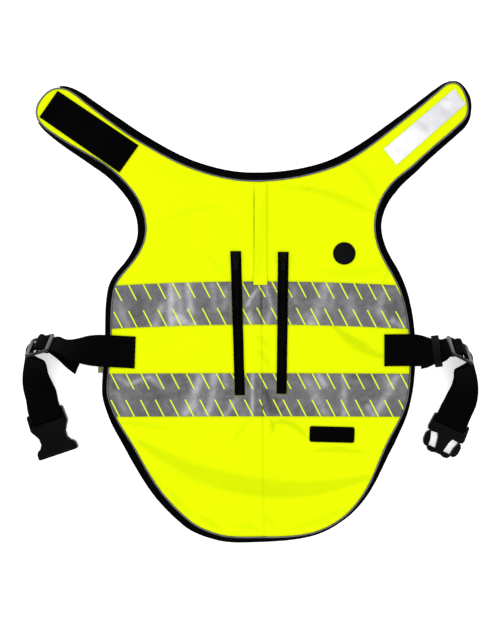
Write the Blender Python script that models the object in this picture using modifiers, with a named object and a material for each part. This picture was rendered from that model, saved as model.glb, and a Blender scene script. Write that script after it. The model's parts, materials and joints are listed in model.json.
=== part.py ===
"""Dog safety vest, laid flat with its neck towards +Y.

The vest lies on its belly side, so the back panels, the reflective bands and the zips face up.
All tables and sizes are in millimetres; meshes are made in metres.
"""
import math
from collections import namedtuple

import bmesh
import bpy
from mathutils import Matrix, Vector

MM = 0.001
WELD = 0.00002

# Thicknesses of the layers, and the gap kept between pieces that touch
GAP = 0.3
SHELL_THICK = 2.0
TRIM_THICK = 1.0
PIPING_RADIUS = 1.15
BINDING_THICK = 2.8

# Webbing, adjusters and buckles follow the 38 mm webbing standard
WEBBING_WIDTH = 38.0
WEBBING_THICK = 1.5
ADJUSTER_WIDTH = 46.0
ADJUSTER_BAR_REACH = 12.2
ADJUSTER_BAR = 5.0
ADJUSTER_MID_BAR = 3.0
ADJUSTER_THICK = 3.0
ADJUSTER_WEAVE = 4.8
BUCKLE_BAR_RADIUS = 1.8
KEEPER_LENGTH = 8.8
KEEPER_WALL = 1.5

# Reflective tape is 50 mm wide, the zips 12 mm
BAND_EDGE_GAP = 0.5
ZIP_WIDTH_TOP = 12.2
ZIP_WIDTH_END = 10.6
ZIP_NOTCH = 0.4

# The pattern: points round the edge of the shell, clockwise from the neck.
# heading is the direction of the edge in degrees, border the width of the black binding there.
PatternPoint = namedtuple("PatternPoint", "name x y heading border")
PATTERN = [
    PatternPoint("neck_centre", 4.0, 154.7, 0, 9.0),
    PatternPoint("neck_right", 84.5, 166.4, 17, 8.2),
    PatternPoint("neck_right_rise", 117.6, 180.1, 30, 8.8),
    PatternPoint("arm_right_top", 176.8, 222.9, 38, 6.2),
    PatternPoint("tip_right_start", 219.5, 258.0, 40, 3.9),
    PatternPoint("tip_right_top", 239.0, 270.7, 2, 0.8),
    PatternPoint("tip_right_side", 253.3, 254.4, -70, 3.9),
    PatternPoint("tip_right_low", 255.2, 237.9, -98, 3.0),
    PatternPoint("tip_right_under", 246.7, 224.8, -137, 6.2),
    PatternPoint("arm_right_under", 197.0, 180.7, -136, 6.5),
    PatternPoint("armpit_right", 163.2, 150.8, -129, 9.2),
    PatternPoint("armhole_right", 145.3, 102.9, -90, 6.7),
    PatternPoint("armhole_right_low", 162.9, 50.8, -58, 7.7),
    PatternPoint("side_right_top", 180.6, 9.4, -76, 6.0),
    PatternPoint("side_right_mid", 187.2, -61.7, -91, 4.9),
    PatternPoint("side_right_low", 183.0, -104.3, -103, 3.6),
    PatternPoint("hip_right", 161.7, -150.5, -117, 7.0),
    PatternPoint("hem_right_upper", 135.4, -208.5, -120, 3.8),
    PatternPoint("hem_right", 103.4, -244.6, -145, 1.6),
    PatternPoint("hem_right_low", 64.4, -260.8, -170, 2.4),
    PatternPoint("hem_centre", 8.7, -263.9, -180, 4.8),
    PatternPoint("hem_left_low", -41.0, -260.0, 162, 5.8),
    PatternPoint("hem_left", -71.8, -244.6, 140, 7.7),
    PatternPoint("hem_left_upper", -106.1, -209.1, 127, 8.3),
    PatternPoint("hip_left", -134.6, -162.3, 119, 9.1),
    PatternPoint("side_left_low", -161.2, -116.2, 112, 6.3),
    PatternPoint("side_left_bend", -168.2, -88.9, 88, 5.2),
    PatternPoint("side_left_mid", -164.2, -38.0, 87, 5.9),
    PatternPoint("side_left_top", -160.3, 27.1, 78, 6.2),
    PatternPoint("armhole_left_low", -144.0, 52.6, 49, 5.8),
    PatternPoint("armhole_left", -122.5, 99.3, 90, 8.7),
    PatternPoint("armpit_left", -138.1, 144.3, 127, 9.2),
    PatternPoint("arm_left_under", -179.0, 181.5, 149, 8.6),
    PatternPoint("arm_left_low", -229.3, 211.1, 146, 3.8),
    PatternPoint("tip_left_low", -248.4, 226.9, 126, 1.2),
    PatternPoint("tip_left_side", -251.8, 240.2, 82, 0.8),
    PatternPoint("tip_left_upper", -242.9, 256.2, 48, 0.8),
    PatternPoint("tip_left_top", -225.7, 264.2, -2, 1.8),
    PatternPoint("arm_left_top", -200.9, 251.1, -39, 6.2),
    PatternPoint("arm_left_rise", -155.9, 216.8, -36, 9.0),
    PatternPoint("neck_left_fall", -116.8, 192.4, -30, 8.5),
    PatternPoint("neck_left", -69.4, 169.4, -20, 8.2),
]

# The black binding, in the stretches between these pattern points
BindingRun = namedtuple("BindingRun", "name first last")
BINDING_RUNS = [
    BindingRun("binding_neck", "tip_left_top", "tip_right_top"),
    BindingRun("binding_arm_right", "tip_right_top", "armhole_right"),
    BindingRun("binding_side_right", "armhole_right", "hip_right"),
    BindingRun("binding_hem", "hip_right", "hip_left"),
    BindingRun("binding_side_left", "hip_left", "armhole_left"),
    BindingRun("binding_arm_left", "armhole_left", "tip_left_low"),
]

# Centre-back seam, slightly off the vertical as the vest lies
SEAM_TOP = Vector((11.0, 160.0, 0.0))
SEAM_FOOT = Vector((15.6, -270.0, 0.0))

# Soft folds that lift the cloth off the surface, each along a bent line through three points
Fold = namedtuple("Fold", "name x0 y0 xm ym x1 y1 height half_width")
FOLDS = [
    Fold("across_the_hem", -118, -168, -42, -208, 112, -203, 5.0, 17),
    Fold("neck_right", 74, 140, 104, 131, 136, 127, 3.0, 13),
    Fold("hem_left", -74, -221, -52, -235, -28, -239, 2.6, 12),
]
FOLD_ROWS = list(range(-259, -140, 7)) + list(range(114, 156, 6))
FOLD_COLUMNS = list(range(-140, 150, 14))
FOLD_ROW_LIMIT = 9.0

# Reflective bands: edge heights at the sides and how far the middle bows up
Band = namedtuple("Band", "name top foot bow")
BOW_MIDDLE = 9.0
BOW_REACH = 172.0
BAND_UPPER = Band("band_upper", 32.0, -18.6, 5.0)
BAND_LOWER = Band("band_lower", -72.0, -122.6, 0.6)

# Zips: centre line from the neck end to the hem end
Zip = namedtuple("Zip", "name x_top y_top x_end y_end")
ZIPS = {
    "left": Zip("zip_left", -17.7, 73.0, -12.8, -97.0),
    "right": Zip("zip_right", 38.5, 72.2, 36.6, -95.4),
}
ZIP_COIL_WIDTH = 3.6
ZIP_COIL_HEIGHT = 0.7
SLIDER_LENGTH = 9.0
SLIDER_WIDTH = 7.6
SLIDER_HEIGHT = 2.4
SLIDER_SETBACK = 6.0
BRIDGE_WIDTH = 2.2
BRIDGE_LENGTH = 6.8
BRIDGE_LEG = 1.5
BRIDGE_RISE = 3.8
PULL_LENGTH = 17.0
PULL_WIDTH = 5.6
PULL_THICK = 1.2
PULL_PIN_RADIUS = 0.7
PIN_CLEARANCE = 1.0

# Placket strip over the leash opening, and the trims laid on the shell
PLACKET_X0 = 3.4
PLACKET_X1 = 19.4
PLACKET_END = 33.0
PLACKET_RISE_START = 44.0
HOOK_PATCH = [(-228.0, 262.6), (-132.4, 198.0), (-155.2, 165.8), (-249.6, 231.4)]
LOOP_PATCH = [(240.6, 265.0), (254.0, 246.8), (172.4, 174.9), (157.3, 193.7)]
BADGE_CENTRE = (110.6, 70.3)
BADGE_RADIUS = 13.3
LABEL_CENTRE = (96.1, -143.6)
LABEL_SIZE = (53.0, 18.6)
LABEL_TURN = -1.4
SIDE_TAB = [(-181.2, -71.2), (-175.75, -71.2), (-174.9, -60.6), (-180.6, -60.6)]

# Webbing straps, from the sewn end to the buckle. clear is the height of the lower edge above
# the surface, roll the tilt in degrees, lean the direction in plan from lower to raised edge.
StrapPoint = namedtuple("StrapPoint", "name x y clear roll lean")
STRAP_LEFT = [
    StrapPoint("sewn_end", -136.5, -46.8, 2.3, 0, 268),
    StrapPoint("on_shell", -150.0, -46.0, 2.4, 0, 269),
    StrapPoint("over_binding", -172.0, -44.8, 3.2, 2, 270),
    StrapPoint("past_binding", -186.0, -44.2, 3.2, 18, 273),
    StrapPoint("rising", -202.0, -44.0, 3.5, 42, 279),
    StrapPoint("upright", -217.0, -42.0, 5.0, 57, 275),
    StrapPoint("adjuster", -245.5, -37.7, 6.4, 66, 0),
    StrapPoint("corner", -258.3, -47.2, 3.0, 63, 320),
    StrapPoint("leaving", -252.7, -54.0, 2.4, 46, 350),
    StrapPoint("hanging", -252.6, -73.0, 2.2, 30, 365),
    StrapPoint("flattening", -250.5, -86.0, 2.2, 15, 371),
    StrapPoint("flat", -247.2, -98.0, 2.4, 4, 377),
]
STRAP_RIGHT = [
    StrapPoint("sewn_end", 157.9, -44.2, 2.3, 0, 270),
    StrapPoint("on_shell", 172.0, -44.0, 2.4, 0, 270),
    StrapPoint("over_binding", 190.0, -43.9, 3.3, 2, 270),
    StrapPoint("past_binding", 200.5, -44.4, 3.6, 18, 269),
    StrapPoint("keeper_start", 212.0, -44.8, 4.6, 41, 269),
    StrapPoint("keeper", 217.0, -44.6, 5.2, 44, 269),
    StrapPoint("upright", 225.5, -42.6, 6.4, 55, 270),
    StrapPoint("adjuster", 243.1, -43.0, 7.2, 64, 0),
    StrapPoint("corner", 255.2, -56.6, 3.4, 64, 220),
    StrapPoint("leaving", 250.0, -62.6, 2.6, 47, 193),
    StrapPoint("hanging", 251.6, -76.0, 2.4, 37, 180),
    StrapPoint("flattening", 251.4, -89.0, 2.2, 24, 172),
    StrapPoint("flat", 248.0, -104.0, 2.4, 5, 163),
]

# How each adjuster stands: its direction in plan, its dip along the strap, and how much further
# the returning layer runs beside the strap before it peels off
AdjusterPose = namedtuple("AdjusterPose", "heading dip held_back")
POSE_LEFT = AdjusterPose(195.2, 8.0, 17.0)
POSE_RIGHT = AdjusterPose(-26.4, 12.0, 38.0)
TAIL_LEFT = [
    StrapPoint("behind", -220.5, -43.8, 3.6, 55, 266),
    StrapPoint("peeling", -211.0, -49.8, 2.2, 44, 258),
    StrapPoint("tail_end", -199.5, -56.6, 1.4, 34, 252),
]
TAIL_RIGHT = [
    StrapPoint("behind", 206.5, -46.6, 1.2, 21, 268),
    StrapPoint("tail_end", 201.5, -47.6, 0.8, 14, 266),
]
THROUGH_RUN = (-15.0, -7.5, 0.0, 7.5, 15.0)
BAR_RUN = (-16.0, -8.0, 0.0)
STRAP_STEP = 3.0

# Buckle halves: u runs from the webbing end to the tip, v is the half width there
BuckleStep = namedtuple("BuckleStep", "u v")
SOCKET_STEPS = [
    BuckleStep(-6.0, 20.9), BuckleStep(-4.8, 22.0), BuckleStep(12.5, 22.6), BuckleStep(14.5, 21.6),
    BuckleStep(19.5, 18.4), BuckleStep(24.0, 15.9), BuckleStep(31.0, 15.6), BuckleStep(35.0, 18.0),
    BuckleStep(38.0, 22.4), BuckleStep(41.0, 23.8), BuckleStep(46.5, 24.2), BuckleStep(48.0, 23.0),
]
FORK_STEPS = [
    BuckleStep(-2.4, 20.9), BuckleStep(-1.0, 22.0), BuckleStep(15.0, 23.2), BuckleStep(18.6, 22.0),
    BuckleStep(19.4, 18.8), BuckleStep(21.0, 21.0), BuckleStep(24.5, 22.6), BuckleStep(32.0, 22.2),
    BuckleStep(36.0, 20.4), BuckleStep(38.2, 17.4), BuckleStep(37.6, 14.9), BuckleStep(39.4, 14.2),
    BuckleStep(42.0, 12.0), BuckleStep(42.4, 7.6), BuckleStep(41.0, 3.6),
]
FORK_WINDOW = [(18.8, 9.4), (19.8, 17.8), (28.6, 14.8), (36.0, 14.0), (36.0, 4.8), (24.0, 7.0)]
SOCKET_THICK = 12.0
FORK_THICK = 8.0
SOCKET_WALL = 2.2
SOCKET_AT = (-241.1, -120.9)
SOCKET_HEADING = -71.3
SOCKET_BAR_U = 4.5
FORK_AT = (236.9, -128.1)
FORK_HEADING = -114.2
FORK_BAR_U = 3.4
SHOULDER_HALF = 19.7

# Plastics and cloths
COLOURS = {
    "hi_vis_yellow": ((0.90, 1.0, 0.0), 0.75, 0.0),
    "binding_black": ((0.012, 0.012, 0.014), 0.8, 0.0),
    "reflective_grey": ((0.2, 0.2, 0.21), 0.35, 0.3),
    "webbing_black": ((0.01, 0.01, 0.012), 0.7, 0.0),
    "hook_black": ((0.012, 0.012, 0.013), 0.85, 0.0),
    "loop_white": ((0.85, 0.85, 0.87), 0.5, 0.0),
    "zip_black": ((0.01, 0.01, 0.012), 0.5, 0.0),
    "slider_black": ((0.02, 0.02, 0.022), 0.35, 0.6),
    "buckle_plastic": ((0.014, 0.014, 0.016), 0.4, 0.0),
    "badge_black": ((0.012, 0.012, 0.014), 0.5, 0.0),
}


def clear_scene():
    """Remove whatever objects the scene starts with."""
    for item in list(bpy.data.objects):
        bpy.data.objects.remove(item, do_unlink=True)


def make_collection(name):
    collection = bpy.data.collections.new(name)
    bpy.context.scene.collection.children.link(collection)
    return collection


def make_material(name):
    colour, roughness, metallic = COLOURS[name]
    material = bpy.data.materials.new(name)
    material.use_nodes = True
    shader = material.node_tree.nodes["Principled BSDF"]
    shader.inputs["Base Color"].default_value = (*colour, 1.0)
    shader.inputs["Roughness"].default_value = roughness
    shader.inputs["Metallic"].default_value = metallic
    return material


clear_scene()
VEST = make_collection("dog_safety_vest")
CUTTERS = make_collection("cutters")
MATERIALS = {name: make_material(name) for name in COLOURS}


def finish(name, bm, material, matrix=None):
    """Turn a bmesh in millimetres into a named object of the vest."""
    bmesh.ops.recalc_face_normals(bm, faces=bm.faces)
    bmesh.ops.scale(bm, vec=(MM, MM, MM), verts=bm.verts)
    mesh = bpy.data.meshes.new(name)
    bm.to_mesh(mesh)
    bm.free()
    mesh.shade_smooth()
    mesh.set_sharp_from_angle(angle=math.radians(35))
    item = bpy.data.objects.new(name, mesh)
    item.data.materials.append(MATERIALS[material])
    VEST.objects.link(item)
    if matrix is not None:
        item.matrix_world = matrix
    return item


def as_cutter(item):
    """Move an object to the cutters, which are not part of the vest."""
    VEST.objects.unlink(item)
    CUTTERS.objects.link(item)
    item.hide_render = True
    item.display_type = "WIRE"
    return item


def boolean(item, other, operation):
    modifier = item.modifiers.new(operation.lower(), "BOOLEAN")
    modifier.operation = operation
    modifier.solver = "EXACT"
    modifier.object = as_cutter(other)


def heading_vector(degrees):
    return Vector((math.cos(math.radians(degrees)), math.sin(math.radians(degrees)), 0.0))


def lerp(a, b, t):
    return a + (b - a) * t


# The edge of the shell as one smooth closed line
EdgeSample = namedtuple("EdgeSample", "point outward border name")


def edge_stretch(start, end):
    """Samples of the edge from one pattern point up to the next."""
    p0 = Vector((start.x, start.y, 0.0))
    p3 = Vector((end.x, end.y, 0.0))
    turn = math.radians((end.heading - start.heading + 180) % 360 - 180)
    chord = (p3 - p0).length
    half = max(abs(turn) / 2, 0.01)
    handle = chord * (2 / 3) * math.tan(half / 2) / math.sin(half)
    p1 = p0 + heading_vector(start.heading) * handle
    p2 = p3 - heading_vector(end.heading) * handle
    steps = max(2, math.ceil(chord / 22), math.ceil(abs(math.degrees(turn)) / 9))
    samples = []
    for i in range(steps):
        t = i / steps
        s = 1 - t
        point = p0 * s ** 3 + p1 * (3 * s * s * t) + p2 * (3 * s * t * t) + p3 * t ** 3
        slope = (p1 - p0) * (s * s) + (p2 - p1) * (2 * s * t) + (p3 - p2) * (t * t)
        slope.normalize()
        outward = Vector((-slope.y, slope.x, 0.0))
        name = start.name if i == 0 else None
        samples.append(EdgeSample(point, outward, lerp(start.border, end.border, t), name))
    return samples


def edge_samples():
    samples = []
    for start, end in zip(PATTERN, PATTERN[1:] + PATTERN[:1]):
        samples += edge_stretch(start, end)
    return samples


EDGE = edge_samples()


def edge_x(y, side):
    """Where the shell's edge crosses a height, on the left (-1) or right (+1)."""
    crossings = []
    for a, b in zip(EDGE, EDGE[1:] + EDGE[:1]):
        if (a.point.y - y) * (b.point.y - y) < 0:
            t = (y - a.point.y) / (b.point.y - a.point.y)
            crossings.append(lerp(a.point.x, b.point.x, t))
    return side * max(side * x for x in crossings)


def seam_x(y):
    t = (y - SEAM_TOP.y) / (SEAM_FOOT.y - SEAM_TOP.y)
    return lerp(SEAM_TOP.x, SEAM_FOOT.x, t)


def fold_lift(x, y):
    """Height by which the folds raise the cloth at a point."""
    lift = 0.0
    for fold in FOLDS:
        nearest = fold.half_width
        along = 0.0
        for i in range(25):
            t = i / 24
            s = 1 - t
            fx = fold.x0 * s * s + fold.xm * 2 * s * t + fold.x1 * t * t
            fy = fold.y0 * s * s + fold.ym * 2 * s * t + fold.y1 * t * t
            distance = math.hypot(x - fx, y - fy)
            if distance < nearest:
                nearest = distance
                along = t
        across = 0.5 + 0.5 * math.cos(math.pi * nearest / fold.half_width)
        ends = min(1.0, 5 * along, 5 * (1 - along))
        lift += fold.height * across * ends
    return lift


def face_height(face):
    levels = [vert.co.y for vert in face.verts]
    return max(levels) - min(levels)


def flat_sheet(name, face_points, bottom, top, material, rows=(), columns=(), keep=None):
    """A sheet cut from an outline, with its underside and top shaped by functions."""
    bm = bmesh.new()
    bm.faces.new([bm.verts.new((x, y, 0.0)) for x, y in face_points])
    if keep is not None:
        origin, normal = keep
        geometry = bm.verts[:] + bm.edges[:] + bm.faces[:]
        bmesh.ops.bisect_plane(bm, geom=geometry, plane_co=origin, plane_no=normal,
                               clear_inner=True)
    for y in rows:
        geometry = bm.verts[:] + bm.edges[:] + bm.faces[:]
        bmesh.ops.bisect_plane(bm, geom=geometry, plane_co=(0, y, 0), plane_no=(0, 1, 0))
    for x in columns:
        faces = [face for face in bm.faces if face_height(face) < FOLD_ROW_LIMIT]
        around = {vert for face in faces for vert in face.verts}
        around |= {edge for face in faces for edge in face.edges}
        bmesh.ops.bisect_plane(bm, geom=list(around) + faces, plane_co=(x, 0, 0),
                               plane_no=(1, 0, 0))
    bmesh.ops.triangulate(bm, faces=bm.faces[:])
    lower = bm.verts[:]
    raised = bmesh.ops.extrude_face_region(bm, geom=bm.faces[:])
    upper = [v for v in raised["geom"] if isinstance(v, bmesh.types.BMVert)]
    for vert in upper:
        vert.co.z = top(vert.co.x, vert.co.y)
    for vert in lower:
        vert.co.z = bottom(vert.co.x, vert.co.y)
    return finish(name, bm, material)


def shell_panel(name, side):
    """One back panel, from the edge to the centre-back seam."""
    outline = [(s.point.x, s.point.y) for s in EDGE]
    along = (SEAM_FOOT - SEAM_TOP).normalized()
    across = Vector((-along.y, along.x, 0.0)) * side
    keep = (SEAM_TOP + across * GAP / 2, across)
    return flat_sheet(name, outline, fold_lift, lambda x, y: fold_lift(x, y) + SHELL_THICK,
                      "hi_vis_yellow", FOLD_ROWS, FOLD_COLUMNS, keep)


def loft(name, rings, material, closed=False):
    """A solid through rings of corner points, capped at both ends."""
    bm = bmesh.new()
    loops = [[bm.verts.new(corner) for corner in ring] for ring in rings]
    pairs = list(zip(loops, loops[1:]))
    if closed:
        pairs.append((loops[-1], loops[0]))
    for one, other in pairs:
        for i in range(len(one)):
            j = (i + 1) % len(one)
            bm.faces.new((one[i], one[j], other[j], other[i]))
    if not closed:
        bm.faces.new(loops[0])
        bm.faces.new(loops[-1])
    return finish(name, bm, material)


def make_piping():
    """Reflective cord in the seam between the shell and its binding."""
    reach = GAP + PIPING_RADIUS
    curve = bpy.data.curves.new("piping", "CURVE")
    curve.dimensions = "3D"
    curve.bevel_depth = PIPING_RADIUS * MM
    curve.bevel_resolution = 1
    spline = curve.splines.new("POLY")
    spline.points.add(len(EDGE) - 1)
    for point, sample in zip(spline.points, EDGE):
        place = (sample.point + sample.outward * reach + Vector((0, 0, PIPING_RADIUS + GAP))) * MM
        point.co = (*place, 1.0)
    spline.use_cyclic_u = True
    item = bpy.data.objects.new("piping", curve)
    item.data.materials.append(MATERIALS["reflective_grey"])
    VEST.objects.link(item)


def binding_ring(sample, inner):
    """Rounded section of the binding, from its inner to its outer edge."""
    outer = inner + sample.border
    steps = [(inner, 0.0), (inner, 0.8), (lerp(inner, outer, 0.2), 1.0),
             (lerp(inner, outer, 0.75), 1.0), (outer, 0.55), (outer, 0.0)]
    ring = []
    for reach, height in steps:
        flat = sample.point + sample.outward * reach
        ring.append((flat.x, flat.y, height * BINDING_THICK))
    return ring


def make_binding(run):
    inner = 2 * PIPING_RADIUS + 2 * GAP
    names = [sample.name for sample in EDGE]
    first = names.index(run.first)
    count = (names.index(run.last) - first) % len(EDGE)
    stretch = [EDGE[(first + i) % len(EDGE)] for i in range(count + 1)]
    half = GAP / 2
    for index, towards in ((0, 1), (-1, -2)):
        end = stretch[index]
        step = (stretch[towards].point - end.point).normalized()
        stretch[index] = end._replace(point=end.point + step * half)
    loft(run.name, [binding_ring(sample, inner) for sample in stretch], "binding_black")


def on_shell(_x, _y):
    return SHELL_THICK + GAP


def on_shell_top(_x, _y):
    return SHELL_THICK + GAP + TRIM_THICK


def zip_line(side, y):
    """Centre and half width of a zip at a height."""
    line = ZIPS[side]
    t = (line.y_top - y) / (line.y_top - line.y_end)
    return lerp(line.x_top, line.x_end, t), lerp(ZIP_WIDTH_TOP, ZIP_WIDTH_END, t) / 2


def beside_zip(side, direction):
    """A function that follows one side of a zip, just clear of it."""
    def x_at(y):
        centre, half = zip_line(side, y)
        return centre + direction * (half + ZIP_NOTCH)
    return x_at


def beside_seam(direction):
    return lambda y: seam_x(y) + direction * GAP / 2


def beside_edge(side):
    return lambda y: edge_x(y, side) - side * BAND_EDGE_GAP


def band_panel(name, band, x_left, x_right, columns, rows=6):
    """A stretch of reflective tape between two side lines."""
    def height(x, y):
        return y + band.bow * (1 - ((x - BOW_MIDDLE) / BOW_REACH) ** 2)

    bm = bmesh.new()
    bmesh.ops.create_grid(bm, x_segments=columns, y_segments=rows, size=0.5)
    for vert in bm.verts:
        across = vert.co.x + 0.5
        level = lerp(band.foot, band.top, vert.co.y + 0.5)
        y = height(lerp(x_left(level), x_right(level), across), level)
        vert.co = (lerp(x_left(y), x_right(y), across), y, SHELL_THICK + GAP)
    raised = bmesh.ops.extrude_face_region(bm, geom=bm.faces[:])
    upper = [v for v in raised["geom"] if isinstance(v, bmesh.types.BMVert)]
    bmesh.ops.translate(bm, verts=upper, vec=(0, 0, TRIM_THICK))
    return finish(name, bm, "reflective_grey")


def notch_for_zip(band, side):
    """Cut a band back where the end of a zip lies in it."""
    line = ZIPS[side]
    top = line.y_end + 60
    foot = line.y_end - ZIP_NOTCH
    points = []
    for y, direction in ((top, -1), (top, 1), (foot, 1), (foot, -1)):
        points.append((beside_zip(side, direction)(y), y))
    cutter = flat_sheet("notch_" + side, points, lambda x, y: 1.0, lambda x, y: 6.0, "zip_black")
    boolean(band, cutter, "DIFFERENCE")


def make_bands():
    upper = BAND_UPPER
    band_panel("band_upper_left", upper, beside_edge(-1), beside_zip("left", -1), 8)
    band_panel("band_upper_mid_left", upper, beside_zip("left", 1), beside_seam(-1), 2)
    band_panel("band_upper_mid_right", upper, beside_seam(1), beside_zip("right", -1), 2)
    band_panel("band_upper_right", upper, beside_zip("right", 1), beside_edge(1), 8)
    lower_left = band_panel("band_lower_left", BAND_LOWER, beside_edge(-1), beside_seam(-1), 6)
    lower_right = band_panel("band_lower_right", BAND_LOWER, beside_seam(1), beside_edge(1), 6)
    notch_for_zip(lower_left, "left")
    notch_for_zip(lower_right, "right")


def make_placket():
    """Strip over the leash opening; its end lies over the upper band."""
    step = TRIM_THICK + GAP
    rows = [PLACKET_RISE_START, PLACKET_RISE_START - 4]

    def bottom(_x, y):
        rise = min(1.0, max(0.0, (PLACKET_RISE_START - y) / 4))
        return SHELL_THICK + GAP + step * rise

    neck = PATTERN[0].y - 0.6
    points = [(PLACKET_X0, PLACKET_END), (PLACKET_X1, PLACKET_END),
              (PLACKET_X1, neck), (PLACKET_X0, neck)]
    flat_sheet("placket", points, bottom, lambda x, y: bottom(x, y) + TRIM_THICK,
               "hi_vis_yellow", rows)


def make_zip(side):
    """Zip tape with its closed coil as a low ridge along the middle."""
    line = ZIPS[side]
    coil = ZIP_COIL_WIDTH / ZIP_WIDTH_TOP
    stops = [-1.0, -coil - 0.08, -coil, coil, coil + 0.08, 1.0]
    rings = []
    for i in range(6):
        y = lerp(line.y_top, line.y_end, i / 5)
        centre, half = zip_line(side, y)
        base = SHELL_THICK + GAP
        top = base + TRIM_THICK
        heights = [top, top, top + ZIP_COIL_HEIGHT, top + ZIP_COIL_HEIGHT, top, top]
        ring = [(centre + half * stop, y, height) for stop, height in zip(stops, heights)]
        ring += [(centre + half, y, base), (centre - half, y, base)]
        rings.append(ring)
    loft(line.name, rings, "zip_black")


def box(name, low, high, material, matrix=None):
    bm = bmesh.new()
    bmesh.ops.create_cube(bm, size=1.0)
    for vert in bm.verts:
        vert.co = [lerp(a, b, c + 0.5) for a, b, c in zip(low, high, vert.co)]
    return finish(name, bm, material, matrix)


def add_bevel(item, width, segments=1):
    bevel = item.modifiers.new("rounded", "BEVEL")
    bevel.width = width * MM
    bevel.segments = segments
    bevel.limit_method = "ANGLE"
    bevel.angle_limit = math.radians(40)
    bevel.use_clamp_overlap = True


def pull_hinge(side):
    """Centre of the pull tab's pin, under the slider's bridge."""
    line = ZIPS[side]
    y = line.y_top - SLIDER_SETBACK
    centre, _half = zip_line(side, y)
    base = SHELL_THICK + 2 * GAP + TRIM_THICK + ZIP_COIL_HEIGHT
    return Vector((centre, y, base + SLIDER_HEIGHT + PIN_CLEARANCE + PULL_PIN_RADIUS))


def make_slider(side):
    """Zip slider: a body and a bridge that the pull tab's pin hangs in."""
    hinge = pull_hinge(side)
    foot = hinge.z - PULL_PIN_RADIUS - PIN_CLEARANCE - SLIDER_HEIGHT
    half_w = SLIDER_WIDTH / 2
    half_l = SLIDER_LENGTH / 2
    low = (hinge.x - half_w, hinge.y - half_l, foot)
    high = (hinge.x + half_w, hinge.y + half_l, foot + SLIDER_HEIGHT)
    body = box("zip_slider_" + side, low, high, "slider_black")
    bridge_top = foot + SLIDER_HEIGHT + BRIDGE_RISE
    half_b = BRIDGE_WIDTH / 2
    reach = BRIDGE_LENGTH / 2
    opening = reach - BRIDGE_LEG
    rings = []
    for x in (hinge.x - half_b, hinge.x + half_b):
        deck = foot + SLIDER_HEIGHT - 0.5
        profile = [(-reach, deck), (-opening, deck), (-opening, bridge_top - 1.5),
                   (-opening + 0.6, bridge_top - 1.0), (opening - 0.6, bridge_top - 1.0),
                   (opening, bridge_top - 1.5), (opening, deck), (reach, deck),
                   (reach - 0.2, bridge_top - 1.4), (reach - 1.6, bridge_top),
                   (-reach + 1.6, bridge_top), (-reach + 0.2, bridge_top - 1.4)]
        rings.append([(x, hinge.y + dy, z) for dy, z in profile])
    bridge = loft("bridge_" + side, rings, "slider_black")
    boolean(body, bridge, "UNION")


def make_pull(side):
    """Pull tab lying towards the hem: a pin, two cheeks and the tab, turned about the pin."""
    hinge = pull_hinge(side)
    rest = SHELL_THICK + 2 * GAP + TRIM_THICK + ZIP_COIL_HEIGHT
    drop = hinge.z - rest - PULL_THICK / 2
    droop = math.asin(drop / PULL_LENGTH)
    half = PULL_WIDTH / 2
    slot = BRIDGE_WIDTH / 2 + 0.5
    pin = PULL_PIN_RADIUS
    eye_end = -4.4
    outline = [(-half, pin), (half, pin), (half, -6.0), (half - 0.4, -PULL_LENGTH + 1.4),
               (half - 1.6, -PULL_LENGTH), (-half + 1.6, -PULL_LENGTH),
               (-half + 0.4, -PULL_LENGTH + 1.4), (-half, -6.0)]
    eye = [(-slot, -pin), (slot, -pin), (slot, eye_end), (-slot, eye_end)]
    place = Matrix.Translation(hinge * MM) @ Matrix.Rotation(droop, 4, "X")
    plate("zip_pull_" + side, [outline, eye], PULL_THICK, "slider_black", place)


def meshed_curve(name, curve, material, matrix):
    """A filled flat curve as a welded mesh object, placed by its matrix."""
    guide = bpy.data.objects.new(name + "_outline", curve)
    VEST.objects.link(guide)
    graph = bpy.context.evaluated_depsgraph_get()
    mesh = bpy.data.meshes.new_from_object(guide.evaluated_get(graph))
    bpy.data.objects.remove(guide, do_unlink=True)
    bm = bmesh.new()
    bm.from_mesh(mesh)
    bpy.data.meshes.remove(mesh)
    bmesh.ops.remove_doubles(bm, verts=bm.verts, dist=WELD)
    bmesh.ops.scale(bm, vec=(1 / MM, 1 / MM, 1 / MM), verts=bm.verts)
    bmesh.ops.dissolve_limit(bm, angle_limit=0.01, verts=bm.verts, edges=bm.edges)
    return finish(name, bm, material, matrix)


def plate(name, outlines, thick, material, matrix):
    """A flat plate from an outer outline and any windows in it."""
    curve = bpy.data.curves.new(name, "CURVE")
    curve.dimensions = "2D"
    curve.fill_mode = "BOTH"
    curve.extrude = thick / 2 * MM
    for points in outlines:
        spline = curve.splines.new("POLY")
        spline.points.add(len(points) - 1)
        for point, (x, y) in zip(spline.points, points):
            point.co = (x * MM, y * MM, 0.0, 1.0)
        spline.use_cyclic_u = True
    return meshed_curve(name, curve, material, matrix)


def rounded_outline(half_x, half_y, radius, steps=3):
    """Corner-rounded rectangle about the origin."""
    points = []
    for quarter in range(4):
        cx = (half_x - radius) * (1 if quarter in (0, 3) else -1)
        cy = (half_y - radius) * (1 if quarter in (0, 1) else -1)
        for i in range(steps + 1):
            angle = math.radians(90 * (quarter + i / steps))
            points.append((cx + radius * math.cos(angle), cy + radius * math.sin(angle)))
    return points


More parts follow.
